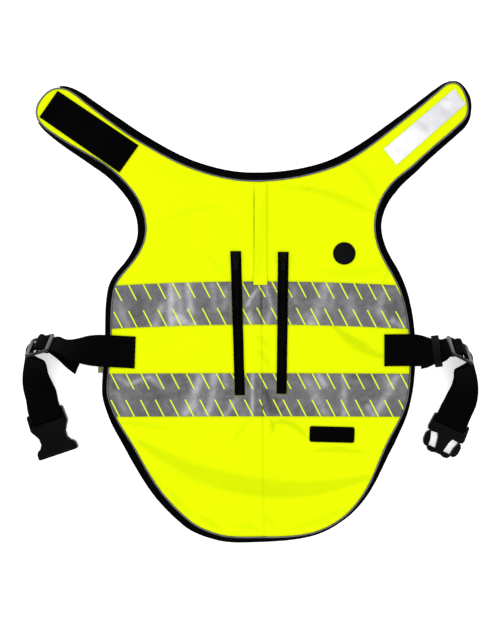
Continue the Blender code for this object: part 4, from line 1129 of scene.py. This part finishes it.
def place_balls(name, spots, radii, material):
    """One small low-polygon ball at each spot, turned to its heading; for coils and stitches."""
    bm = bmesh.new()
    for x, y, z, turn in spots:
        made = bmesh.ops.create_icosphere(bm, subdivisions=1, radius=1.0)["verts"]
        bmesh.ops.scale(bm, vec=radii, verts=made)
        bmesh.ops.rotate(bm, verts=made, matrix=Matrix.Rotation(turn, 3, "Z"))
        bmesh.ops.translate(bm, vec=(x, y, z), verts=made)
    put_on(new_piece(name, bm, material))
    print(name, "repeats", len(spots))


def coil_ridge(side):
    """Lift of a zip's tape: a low ridge under the coil and a sewn groove to either side."""
    def ridge(points):
        reach = np.abs(points[:, 0] - zip_line(side, points[:, 1])[0])
        rise = 0.35 * np.clip((COIL_HALF + 0.5 - reach) / 0.6, 0, 1)
        return rise - 0.25 * np.exp(-((reach - 4.6) / 0.6) ** 2)

    return ridge


for side, line in ZIPS.items():
    outline = []
    for y, direction in ((line.y_end, -1), (line.y_end, 1), (line.y_top, 1), (line.y_top, -1)):
        centre, half = zip_line(side, y)
        outline.append((centre + direction * half, y))
    flat_piece("zip_tape_" + side, outline, TAPE_BLACK, "zip_" + side,
               1.3, coil_ridge(side))
    spots = []
    for i in range(round((line.y_top - line.y_end - 4) / COIL_PITCH)):
        hand = 1 if i % 2 else -1
        y = line.y_top - 2 - i * COIL_PITCH
        x = zip_line(side, y)[0] + hand * 0.75
        lift = float(cloth_lift([(x, y)])[0])
        spots.append((x, y, COIL_TOP + lift, hand * COIL_LEAN))
    place_balls("zip_coil_" + side, spots, COIL_RADII, NYLON)

# %% [markdown]
# ## Hook and loop at the neck
# The left arm carries the hook patch and the right arm the softer pale patch that it grips. Hooks
# read as a fine grid of dark specks. The loop side is brushed pile with a faint sheen, and it has
# taken a few soft dents, with painted shade in them.

# %% Neck patches
HOOK_PATCH = [(-228.0, 262.6), (-132.4, 198.0), (-155.2, 165.8), (-249.6, 231.4)]
LOOP_PATCH = [(240.6, 265.0), (254.0, 246.8), (172.4, 174.9), (157.3, 193.7)]
HOOK_TURN = -34
LOOP_TURN = 41
LOOP_DENTS = [
    Fold("dent_one", 194, 228, 203, 222, 212, 211, 0.9, 8),
    Fold("dent_two", 217, 248, 224, 240, 234, 232, 0.7, 8),
    Fold("dent_three", 168, 196, 178, 192, 186, 186, 0.3, 8),
]


def turned(x, y, degrees):
    """x and y turned into the direction of a patch."""
    c, s = math.cos(math.radians(degrees)), math.sin(math.radians(degrees))
    return x * c + y * s, y * c - x * s


def hook_finish():
    finish = Finish("hook_side", roughness=0.8, specular_ior_level=0.012)
    grid = weave(*turned(*finish.place(), HOOK_TURN), 1.5)
    fuzz = finish.grain(1500.0, 2.0)
    cloud = finish.grain(30.0, 2.0)
    shade = grid * 0.5 + cloud.ramp(0.4, 0.7) * 0.3
    finish.feed("Base Color", finish.mix(shade, BLACK_DEEP, BLACK_WORN))
    finish.bump(grid * 0.6 + fuzz * 0.4, 0.35, 0.7)
    return finish.material


def loop_finish():
    finish = Finish("loop_side", roughness=0.8, specular_ior_level=0.1)
    pile = finish.grain(1100.0)
    streak = finish.grain(70.0, 4.0)
    far_end = turned(*finish.place(), LOOP_TURN)[0].ramp(262, 330)
    colour = finish.mix(streak.ramp(0.3, 0.7) * 0.35, (0.88, 0.88, 0.89), (0.76, 0.76, 0.78))
    colour = finish.mix(far_end * (streak.ramp(0.3, 0.65) * 0.5 + 0.3), colour,
                        (0.60, 0.60, 0.64))
    # painted shade: the loop pile is painted greyer in its dents
    dent = finish.painted("dent") * (0.3 + streak * 0.5)
    colour = finish.mix(dent, colour, (0.50, 0.50, 0.53))
    finish.feed("Base Color", colour)
    finish.bump(pile * 0.7 + streak * 0.3, 0.3, 0.6)
    return finish.material


def dent_depth(points):
    return -lift_of(LOOP_DENTS, points) * 0.3


flat_piece("neck_hook", HOOK_PATCH, hook_finish(), "hook_patch")
item = flat_piece("neck_loop", LOOP_PATCH, loop_finish(), "loop_patch",
                  2.0, dent_depth)
paint(item, "dent", lift_of(LOOP_DENTS, plan_points(item)))

# %% [markdown]
# ## Badge, label and side tab
# The round badge is moulded rubber, welded on, with a slightly proud rim. The woven label sits in
# its own fold above the hem. Both are plain here. The tab is a snip of folded tape in the seam.

# %% Badge, label and tab
BADGE_CENTRE = Vector((110.6, 70.3, 0.0))
LABEL_CENTRE = Vector((96.1, -143.6, 0.0))
LABEL_SIZE = (53.0, 18.6)
LABEL_TURN = -1.4
RUBBER = plain_black("badge_rubber", (0.001, 0.001, 0.0015), (0.003, 0.003, 0.004), 0.5, 0.04, 0.05)

BADGE_PROFILE = [(0.02, 2.35), (13.0, 2.35), (13.3, 2.5), (13.3, 3.15), (13.1, 3.3), (12.4, 3.3),
                 (12.1, 3.14), (6.0, 3.16), (0.02, 3.17)]
bm = bmesh.new()
profile = [bm.verts.new((r, 0.0, z)) for r, z in BADGE_PROFILE]
edges = [bm.edges.new(pair) for pair in zip(profile, profile[1:])]
bmesh.ops.spin(bm, geom=profile + edges, axis=(0, 0, 1), cent=(0, 0, 0), angle=2 * math.pi,
               steps=64, use_merge=True)
bmesh.ops.remove_doubles(bm, verts=bm.verts, dist=0.05)
bmesh.ops.recalc_face_normals(bm, faces=bm.faces[:])
bmesh.ops.translate(bm, verts=bm.verts, vec=BADGE_CENTRE)
badge = new_piece("badge_disc", bm, RUBBER)
badge.data.set_sharp_from_angle(angle=math.radians(40))
put_on(badge, "badge")


def rounded_outline(half_x, half_y, radius, steps=5):
    """Corner-rounded rectangle about the origin."""
    points = []
    for quarter in range(4):
        cx = (half_x - radius) * (1 if quarter in (0, 3) else -1)
        cy = (half_y - radius) * (1 if quarter in (0, 1) else -1)
        for i in range(steps + 1):
            angle = math.radians(90 * (quarter + i / steps))
            points.append((cx + radius * math.cos(angle), cy + radius * math.sin(angle)))
    return points


turn = Matrix.Rotation(math.radians(LABEL_TURN), 3, "Z")
outline = []
for x, y in rounded_outline(LABEL_SIZE[0] / 2, LABEL_SIZE[1] / 2, 2.5):
    place = turn @ Vector((x, y, 0.0)) + LABEL_CENTRE
    outline.append((place.x, place.y))
flat_piece("label_patch", outline, ribbed_black("label_cloth", 0.7), "label",
           2.0)

TAB_TAPE = Finish("tab_tape", roughness=0.85, specular_ior_level=0.1)
threads = weave(*TAB_TAPE.place(), 0.7)
TAB_TAPE.feed("Base Color", TAB_TAPE.mix(threads, (0.13, 0.15, 0.06), (0.30, 0.34, 0.12)))
TAB_TAPE.bump(threads, 0.1, 0.6)
TAB_FOOT = -71.0
TAB_HEAD = -60.8
TAB_STEPS = 8
TAB_RISE = [(-175.3, 0.0), (-176.3, 0.9), (-178.6, 1.15), (-180.2, 0.95), (-180.9, 0.0)]
stations = []
for i in range(TAB_STEPS + 1):
    y = lerp(TAB_FOOT, TAB_HEAD, i / TAB_STEPS)
    lean = 0.6 * i / TAB_STEPS
    ring = [Vector((x + lean, y, 0.15 + z)) for x, z in TAB_RISE]
    stations.append(Station(ring, y - TAB_FOOT))
bm = sweep(stations, [i * 1.5 for i in range(len(TAB_RISE))])
tab = put_on(new_piece("side_loop", bm, TAB_TAPE.material), "side_tab")
print("badge, label and side loop")

# %% [markdown]
# ## Webbing straps
# Each strap is one length of webbing: out from the seam, up through a three-bar adjuster, round
# the bar of its buckle half and back through the adjuster to a free end. It stands half on edge,
# so a path alone can't describe it. A table gives the place, the clearance under the lower edge,
# the roll, and the direction in plan from the lower to the raised edge; one smooth curve carries
# all five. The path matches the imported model's, in finer steps and with rounded edges.

# %% Strap tables
WEBBING_WIDTH = 38.0
WEBBING_THICK = 1.5
ADJUSTER_BAR_REACH = 12.2
ADJUSTER_WEAVE = 4.8
BUCKLE_BAR_RADIUS = 1.8
LOOP_SLACK = 0.55
SOCKET_THICK = 12.0
FORK_THICK = 8.0
SOCKET_AT = (-241.1, -120.9)
SOCKET_HEADING = -71.3
SOCKET_BAR_U = 4.5
FORK_AT = (236.9, -128.1)
FORK_HEADING = -114.2
FORK_BAR_U = 3.4
THROUGH_RUN = (-15.0, -7.5, 0.0, 7.5, 15.0)
BAR_RUN = (-16.0, -8.0, 0.0)
STRAP_STEP = 1.5
SPLINE_STEPS = 12
LOOP_STEPS = 8
DOUBLING_LEAD = 30
DOUBLING_RUN = 25
OPENING_RUN = 24
StrapPoint = namedtuple("StrapPoint", "name x y clear roll lean")
STRAP_LEFT = [
    StrapPoint("sewn_end", -136.5, -46.8, 2.3, 0, 268),
    StrapPoint("on_shell", -150.0, -46.0, 2.4, 0, 269),
    StrapPoint("over_binding", -172.0, -44.8, 3.2, 2, 270),
    StrapPoint("past_binding", -186.0, -44.2, 3.2, 18, 273),
    StrapPoint("rising", -202.0, -44.0, 3.5, 42, 279),
    StrapPoint("upright", -217.0, -42.0, 5.0, 57, 275),
    StrapPoint("adjuster", -245.5, -37.7, 6.4, 66, 0),
    StrapPoint("corner", -258.3, -47.2, 3.0, 63, 320),
    StrapPoint("leaving", -252.7, -54.0, 2.4, 46, 350),
    StrapPoint("hanging", -252.6, -73.0, 2.2, 30, 365),
    StrapPoint("flattening", -250.5, -86.0, 2.2, 15, 371),
    StrapPoint("flat", -247.2, -98.0, 2.4, 4, 377),
]
STRAP_RIGHT = [
    StrapPoint("sewn_end", 157.9, -44.2, 2.3, 0, 270),
    StrapPoint("on_shell", 172.0, -44.0, 2.4, 0, 270),
    StrapPoint("over_binding", 190.0, -43.9, 3.3, 2, 270),
    StrapPoint("past_binding", 200.5, -44.4, 3.6, 18, 269),
    StrapPoint("keeper_start", 212.0, -44.8, 4.6, 41, 269),
    StrapPoint("keeper", 217.0, -44.6, 5.2, 44, 269),
    StrapPoint("upright", 225.5, -42.6, 6.4, 55, 270),
    StrapPoint("adjuster", 243.1, -43.0, 7.2, 64, 0),
    StrapPoint("corner", 255.2, -56.6, 3.4, 64, 220),
    StrapPoint("leaving", 250.0, -62.6, 2.6, 47, 193),
    StrapPoint("hanging", 251.6, -76.0, 2.4, 37, 180),
    StrapPoint("flattening", 251.4, -89.0, 2.2, 24, 172),
    StrapPoint("flat", 248.0, -104.0, 2.4, 5, 163),
]
AdjusterPose = namedtuple("AdjusterPose", "heading dip held_back")
POSE_LEFT = AdjusterPose(195.2, 8.0, 17.0)
POSE_RIGHT = AdjusterPose(-26.4, 12.0, 38.0)
TAIL_LEFT = [
    StrapPoint("behind", -220.5, -43.8, 3.6, 55, 266),
    StrapPoint("peeling", -211.0, -49.8, 2.2, 44, 258),
    StrapPoint("tail_end", -199.5, -56.6, 1.4, 34, 252),
]
TAIL_RIGHT = [
    StrapPoint("behind", 206.5, -46.6, 1.2, 21, 268),
    StrapPoint("tail_end", 201.5, -47.6, 0.8, 14, 266),
]

# %% [markdown]
# The frames are worked out once along the middle of the strap. The outward and returning layers
# are then set off to either side of it, and swung over and under the adjuster's bars.

# %% Frames along a strap
Frame = namedtuple("Frame", "point along across normal")


def spine_height(row):
    roll = math.radians(row.roll)
    return row.clear + WEBBING_WIDTH / 2 * math.sin(roll) + WEBBING_THICK / 2 * math.cos(roll)


def key_vector(place, roll, lean):
    """Position, roll and lean together, so that one curve carries them all."""
    return Vector((place[0], place[1], place[2], roll, lean))


def row_vector(row):
    return key_vector((row.x, row.y, spine_height(row)), row.roll, row.lean)


def pose_direction(pose):
    """The way of the strap through its adjuster, dipping towards the buckle."""
    level = heading_vector(pose.heading) * math.cos(math.radians(pose.dip))
    return level - Vector((0, 0, math.sin(math.radians(pose.dip))))


def pose_lean(pose, roll, hand):
    """Lean at which the webbing is square to its way through the adjuster."""
    turn = math.acos(math.tan(math.radians(pose.dip)) * math.tan(math.radians(roll)))
    return (pose.heading + hand * math.degrees(turn)) % 360


def strap_keys(rows, pose, hand, bar, heading):
    """Keys of the spine, with straight runs through the adjuster and up to the buckle bar."""
    keys = []
    for row in rows:
        if row.name != "adjuster":
            keys.append((row.name, row_vector(row)))
            continue
        centre = Vector((row.x, row.y, spine_height(row)))
        lean = pose_lean(pose, row.roll, hand)
        for reach in THROUGH_RUN:
            name = "adjuster" if reach == 0 else "through"
            place = centre + pose_direction(pose) * reach
            keys.append((name, key_vector(place, row.roll, lean)))
    lean = 360 + heading + hand * 90
    for reach in BAR_RUN:
        place = bar + heading_vector(heading) * reach
        keys.append(("bar_run", key_vector(place, 0.0, lean)))
    return keys


def smooth_between(a, b, c, d, t):
    """Point at t on the smooth curve from b to c."""
    point = b * 2 + (c - a) * t + (a * 2 - b * 5 + c * 4 - d) * t ** 2
    return (point + (b * 3 - a - c * 3 + d) * t ** 3) / 2


def spline_points(keys, spacing):
    """Smooth line through the keys in even steps, with the distance of each named key."""
    places = [key[1] for key in keys]
    places = [places[0] * 2 - places[1]] + places + [places[-1] * 2 - places[-2]]
    dense = []
    marks = {}
    for i in range(1, len(places) - 2):
        marks[keys[i - 1][0]] = len(dense)
        for k in range(SPLINE_STEPS):
            dense.append(smooth_between(*places[i - 1:i + 3], k / SPLINE_STEPS))
    dense.append(places[-2])
    lengths = [0.0]
    for one, other in zip(dense, dense[1:]):
        lengths.append(lengths[-1] + (other.xyz - one.xyz).length)
    count = round(lengths[-1] / spacing)
    result = []
    for i in range(count + 1):
        target = lengths[-1] * i / count
        k = max(j for j in range(len(lengths)) if lengths[j] <= target + 1e-9)
        k = min(k, len(dense) - 2)
        t = (target - lengths[k]) / (lengths[k + 1] - lengths[k])
        result.append(dense[k].lerp(dense[k + 1], t))
    return result, {name: lengths[k] for name, k in marks.items()}, lengths[-1] / count


def frames_along(points, hand):
    """Frames at the points; hand is +1 where the raised edge is on the left of the strap."""
    frames = []
    for i, point in enumerate(points):
        before = points[max(i - 1, 0)].xyz
        after = points[min(i + 1, len(points) - 1)].xyz
        along = (after - before).normalized()
        roll = math.radians(point.w)
        across = heading_vector(point[4]) * math.cos(roll) + Vector((0, 0, math.sin(roll)))
        normal = (along.cross(across) * hand).normalized()
        frames.append(Frame(point.xyz, along, across, normal))
    return frames


def weave_offset(distance):
    """How far the webbing is off its plane as it weaves through the adjuster."""
    if abs(distance) >= 2 * ADJUSTER_BAR_REACH:
        return 0.0
    swing = math.cos(math.pi * distance / ADJUSTER_BAR_REACH)
    if abs(distance) <= ADJUSTER_BAR_REACH:
        return ADJUSTER_WEAVE * swing
    return ADJUSTER_WEAVE * (swing - 1) / 2


def smooth_step(value):
    value = min(1.0, max(0.0, value))
    return value * value * (3 - 2 * value)


def strap_layers(keys, pose, hand, bar, bar_heading):
    """Outward layer, loop round the buckle bar and returning layer, as frames of one webbing."""
    points, marks, step = spline_points(keys, STRAP_STEP)
    frames = frames_along(points, hand)
    middle = marks["adjuster"]
    total = step * (len(frames) - 1)
    loop_reach = BUCKLE_BAR_RADIUS + GAP + WEBBING_THICK / 2
    outward = []
    inward = []
    for i, frame in enumerate(frames):
        distance = i * step
        off = weave_offset(distance - middle)
        lead = distance - middle + pose.held_back + DOUBLING_LEAD
        doubled = smooth_step(lead / DOUBLING_RUN)
        spread = lerp(0.0, (WEBBING_THICK + GAP) / 2, doubled)
        opening = smooth_step(1 - (total - distance) / OPENING_RUN)
        spread = lerp(spread, loop_reach, opening)
        outward.append(frame._replace(point=frame.point + frame.normal * (off + spread)))
        inward.append(frame._replace(point=frame.point + frame.normal * (off - spread)))
    loop = []
    along = heading_vector(bar_heading)
    for i in range(1, LOOP_STEPS):
        angle = math.pi * (0.5 - i / LOOP_STEPS)
        normal = along * math.cos(angle) + Vector((0, 0, 1)) * math.sin(angle)
        slack = LOOP_SLACK * math.sin(math.pi * i / LOOP_STEPS)
        loop.append(Frame(bar + normal * (loop_reach + slack), None, frames[-1].across, normal))
    cut = round((middle - pose.held_back) / step)
    back = [frame._replace(normal=-frame.normal) for frame in reversed(inward[cut:])]
    return outward, loop, back


def tail_frames(back, tail, hand):
    """Frames of the free end beyond the adjuster, from its table."""
    control = []
    for frame in (back[-4], back[-1]):
        roll = math.degrees(math.asin(frame.across.z))
        lean = math.degrees(math.atan2(frame.across.y, frame.across.x)) % 360
        control.append(key_vector(frame.point, roll, lean))
    control += [row_vector(row) for row in tail]
    control.append(control[-1] * 2 - control[-2])
    dense = []
    for i in range(1, len(control) - 2):
        for k in range(1, 5):
            dense.append(smooth_between(*control[i - 1:i + 3], k / 4))
    return [frame._replace(normal=-frame.normal) for frame in frames_along(dense, -hand)]


def bar_centre(at, heading, bar_u, thick):
    step = heading_vector(heading) * bar_u
    return Vector((at[0] + step.x, at[1] + step.y, thick / 2 + GAP))

# %% Webbing
def webbing_section(columns=8, corners=3):
    """Places across and off the webbing, all round it, with rounded edges."""
    flat = WEBBING_WIDTH / 2 - WEBBING_THICK / 2
    off = WEBBING_THICK / 2
    section = []
    for side in (1, -1):
        section += [(side * flat * (1 - 2 * i / columns), side * off) for i in range(columns)]
        for i in range(corners):
            angle = math.radians(90 - 180 * i / corners)
            section.append((-side * (flat + off * math.cos(angle)), side * off * math.sin(angle)))
    return section


def webbing_finish():
    """Flat webbing: close ribs along it, fine bars across, and a firmer edge."""
    finish = Finish("webbing", specular_ior_level=0.015)
    along, across = finish.cloth_run()
    zigzag = (across / 3.8 % 1.0 - 0.5).math("ABSOLUTE")
    ribs = ((along + zigzag * 3.0) * (2 * math.pi / 1.5)).math("SINE") * 0.5 + 0.5
    cords = (across * (2 * math.pi / 1.9)).math("SINE") * 0.5 + 0.5
    fuzz = finish.grain(800.0, 2.0)
    cloud = finish.grain(24.0)
    shade = ribs * 0.35 + cords * 0.25 + cloud.ramp(0.4, 0.75) * 0.4
    finish.feed("Base Color", finish.mix(shade, BLACK_DEEP, BLACK_WORN))
    finish.feed("Roughness", 0.62 + fuzz * 0.2)
    finish.bump(ribs * 0.5 + cords * 0.3 + fuzz * 0.2, 0.2, 0.7)
    return finish.material


WEBBING = webbing_finish()
SECTION = webbing_section()


def make_strap(name, rows, tail, pose, hand, bar, bar_heading):
    """One strap from its tables; hand is +1 where its raised edge is on its left."""
    keys = strap_keys(rows, pose, hand, bar, bar_heading)
    outward, loop, back = strap_layers(keys, pose, hand, bar, bar_heading)
    frames = outward + loop + back + tail_frames(back, tail, hand)
    travel = distances([frame.point for frame in frames])
    stations = []
    for frame, along in zip(frames, travel):
        ring = [frame.point + frame.across * v + frame.normal * n for v, n in SECTION]
        stations.append(Station(ring, along))
    bm = sweep(stations, [v for v, n in SECTION])
    item = put_on(new_piece(name.replace("strap", "webbing"), bm, WEBBING), name)
    print(item.name, "length", round(travel[-1]), "mm, faces", len(item.data.polygons))


socket_bar = bar_centre(SOCKET_AT, SOCKET_HEADING, SOCKET_BAR_U, SOCKET_THICK)
fork_bar = bar_centre(FORK_AT, FORK_HEADING, FORK_BAR_U, FORK_THICK)
make_strap("strap_left", STRAP_LEFT, TAIL_LEFT, POSE_LEFT, 1, socket_bar, SOCKET_HEADING)
make_strap("strap_right", STRAP_RIGHT, TAIL_RIGHT, POSE_RIGHT, -1, fork_bar, FORK_HEADING)

# %% [markdown]
# ## Moulded and cast parts
# Adjusters, keeper, buckle halves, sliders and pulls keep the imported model's form. A copy of each
# is cleaned of the extra edges inside its flat faces and gets small rounded edges, as a mould or
# a die leaves them. Those edges catch the light in the photograph.

# %% Hard parts
PLASTIC = plain_black("buckle_acetal", (0.0008, 0.0008, 0.001), (0.002, 0.002, 0.0025), 0.34,
                      0.05, 0.05, 1400.0)
# The slides' acetal is glossier, and its base colour is painted a little lighter than the buckles'
# as painted light on their sloped faces.
GLOSSY_LIT_PLASTIC = plain_black("slide_acetal", (0.002, 0.002, 0.002), (0.005, 0.005, 0.005), 0.3,
                             0.04, 0.24, 1400.0)
METAL = plain_black("painted_zinc", (0.0008, 0.0008, 0.001), (0.002, 0.002, 0.0025), 0.18, 0.03,
                    0.05, 1800.0)
HardPart = namedtuple("HardPart", "node name material slot body width")
HARD_PARTS = [
    HardPart("adjuster_left", "slide_left", GLOSSY_LIT_PLASTIC, "buckle_plastic", "vest", 0.3),
    HardPart("adjuster_right", "slide_right", GLOSSY_LIT_PLASTIC, "buckle_plastic", "vest", 0.3),
    HardPart("keeper_right", "loop_right", PLASTIC, "buckle_plastic", "vest", 0.3),
    HardPart("buckle_socket", "clip_socket", PLASTIC, "buckle_plastic", "vest", 0.35),
    HardPart("buckle_fork", "clip_fork", PLASTIC, "buckle_plastic", "vest", 0.3),
    HardPart("zip_slider_left", "slider_left", METAL, "slider_black", "vest", 0.35),
    HardPart("zip_slider_right", "slider_right", METAL, "slider_black", "vest", 0.35),
    HardPart("zip_pull_left", "pull_left", METAL, "slider_black", "left_pull", 0.25),
    HardPart("zip_pull_right", "pull_right", METAL, "slider_black", "right_pull", 0.25),
]


def refined(part):
    """A dressed copy of a hard node."""
    bm = bmesh.new()
    bm.from_mesh(bpy.data.objects[part.node].data)
    bmesh.ops.remove_doubles(bm, verts=bm.verts, dist=0.00001)
    bmesh.ops.dissolve_limit(bm, angle_limit=math.radians(1), verts=bm.verts, edges=bm.edges)
    bmesh.ops.recalc_face_normals(bm, faces=bm.faces[:])
    bmesh.ops.scale(bm, vec=(1 / MM, 1 / MM, 1 / MM), verts=bm.verts)
    item = new_piece(part.name, bm, part.material)
    item.data.set_sharp_from_angle(angle=math.radians(60))
    rounding = item.modifiers.new("rounding", "BEVEL")
    rounding.width = part.width * MM
    rounding.segments = 2
    rounding.limit_method = "ANGLE"
    rounding.angle_limit = math.radians(30)
    rounding.use_clamp_overlap = True
    put_on(item, part.node, part.body)


for part in HARD_PARTS:
    refined(part)
print("hard parts", len(HARD_PARTS))

# %% [markdown]
# ## Stitching
# Lockstitch shows as a row of short, slightly sunk threads. Each seam is a line on the vest; the
# line is walked in stitch lengths and a small squashed ball laid at every step.

# %% Stitching
STITCH_PITCH = 2.7
STITCH_RADII = (0.95, 0.27, 0.17)
STITCH_LIFT = 0.04
STRAP_SEWN_TOP = 3.86
BINDING_SEWN_TOP = BINDING_THICK * 0.985
ZIP_SEAM_BESIDE = 1.9
ZIP_SEAM_BELOW = 1.8
SEAM_STITCH = 1.2
BOX_DEEP = 20
BOX_HALF = 16.5
THREAD_COLOURS = {
    "yellow": (0.62, 0.74, 0.0),
    "lime": (0.34, 0.44, 0.03),
    "olive": (0.05, 0.085, 0.01),
    "black": (0.006, 0.006, 0.007),
    "white": (0.66, 0.66, 0.68),
}
THREADS = {}
for name, colour in THREAD_COLOURS.items():
    thread = Finish(name + "_thread", base_color=colour, specular_ior_level=0.03)
    thread.feed("Roughness", 0.5 + thread.grain(2500.0, 2.0) * 0.25)
    THREADS[name] = thread.material


def walk(points):
    """Stitch middles and headings along a line of points."""
    spots = []
    reach = STITCH_PITCH / 2
    for (x0, y0), (x1, y1) in zip(points, points[1:]):
        length = math.hypot(x1 - x0, y1 - y0)
        turn = math.atan2(y1 - y0, x1 - x0)
        while reach < length:
            t = reach / length
            spots.append((lerp(x0, x1, t), lerp(y0, y1, t), turn))
            reach += STITCH_PITCH
        reach -= length
    return spots


def sew(name, lines, height, thread, chosen=None):
    """Lay stitches along lines; height gives the surface, and chosen says which to keep."""
    spots = np.array([spot for line in lines for spot in walk(line)])
    if chosen:
        spots = spots[chosen(spots[:, :2])]
    heights = height(spots[:, :2]) + STITCH_LIFT
    placed = [(x, y, z, turn) for (x, y, turn), z in zip(spots.tolist(), heights.tolist())]
    place_balls(name, placed, STITCH_RADII, THREADS[thread])


def inset(corners, gap):
    """A closed line inside a four-cornered patch."""
    points = []
    for i, corner in enumerate(corners):
        here = Vector(corner)
        back = (Vector(corners[i - 1]) - here).normalized()
        ahead = (Vector(corners[(i + 1) % len(corners)]) - here).normalized()
        points.append(tuple(here + (back + ahead) * gap))
    return points + points[:1]


def on_trim(points):
    return TRIM_TOP + cloth_lift(points)


def on_bands(points):
    """Which places lie on a band."""
    inside = np.zeros(len(points), bool)
    for band in (BAND_UPPER, BAND_LOWER):
        v = points[:, 1] - bow_of(band, points[:, 0])
        inside |= (v < band.top) & (v > band.foot)
    return inside


def off_bands(points):
    return ~on_bands(points)


def on_top(points):
    """Height of the yellow cloth or the band, whichever the stitch lies on."""
    return np.where(on_bands(points), TRIM_TOP, PANEL_TOP) + cloth_lift(points)


def on_seam(points):
    return on_top(points) + seam_dip(points)


def on_placket(points):
    return on_trim(points) + placket_step(points)


zip_lines = []
for side, line in ZIPS.items():
    for direction in (-1, 1):
        run = []
        for y in np.linspace(line.y_top, line.y_end - ZIP_SEAM_BELOW, 14):
            centre, half = zip_line(side, y)
            run.append((centre + direction * (half + ZIP_SEAM_BESIDE), y))
        zip_lines.append(run)
    zip_lines.append([zip_lines[-2][-1], zip_lines[-1][-1]])
sew("stitch_zips", zip_lines, on_top, "yellow", off_bands)
sew("stitch_zips_on_tape", zip_lines, on_top, "lime", on_bands)
seam_lines = [[(seam_x(y) + offset, y) for y in np.linspace(-258, PLACKET_END - 2, 12)]
              for offset in (-SEAM_STITCH, SEAM_STITCH)]
sew("stitch_back_seam", seam_lines, on_seam, "yellow", off_bands)
sew("stitch_seam_on_tape", seam_lines, on_seam, "olive", on_bands)
end_lines = [[(1.9, 37.0), (2.2, 32.6), (8.0, 32.0)], [(16.6, 31.8), (20.8, 32.6), (20.9, 36.4)]]
sew("stitch_placket_end", end_lines, on_trim, "olive")
placket_lines = [[(x, neck_y - 1), (x, RISE_START)] for x in PLACKET_SEAMS]
placket_lines.append([(PLACKET_LEFT + 2, 47), (PLACKET_RIGHT - 2, 47)])
sew("stitch_placket", placket_lines, on_placket, "yellow")
sew("stitch_hook", [inset(HOOK_PATCH, 1.8)], on_trim, "black")
sew("stitch_loop", [inset(LOOP_PATCH, 1.8)], on_trim, "white")
w, h = LABEL_SIZE[0] / 2, LABEL_SIZE[1] / 2
corners = [turn @ Vector((x * w, y * h, 0)) + LABEL_CENTRE
           for x, y in ((-1, -1), (1, -1), (1, 1), (-1, 1))]
sew("stitch_label", [inset([corner.xy for corner in corners], 1.5)], on_trim, "black")
strap_lines = []
for x, y, outward in ((-138.5, -46.6, -1), (159.9, -44.1, 1)):
    box_far = x + outward * BOX_DEEP
    top, foot = y + BOX_HALF, y - BOX_HALF
    strap_lines.append([(x, top), (box_far, top), (box_far, foot), (x, foot), (x, top)])
    strap_lines.append([(x, top), (box_far, foot)])
    strap_lines.append([(x, foot), (box_far, top)])
sew("stitch_straps", strap_lines, lambda p: np.full(len(p), STRAP_SEWN_TOP), "black")
binding_line = []
for sample in EDGE + EDGE[:1]:
    place = sample.point + sample.outward * (inner + 0.9 + sample.border * 0.12)
    binding_line.append((place.x, place.y))
sew("stitch_binding", [binding_line], lambda p: np.full(len(p), BINDING_SEWN_TOP), "black")
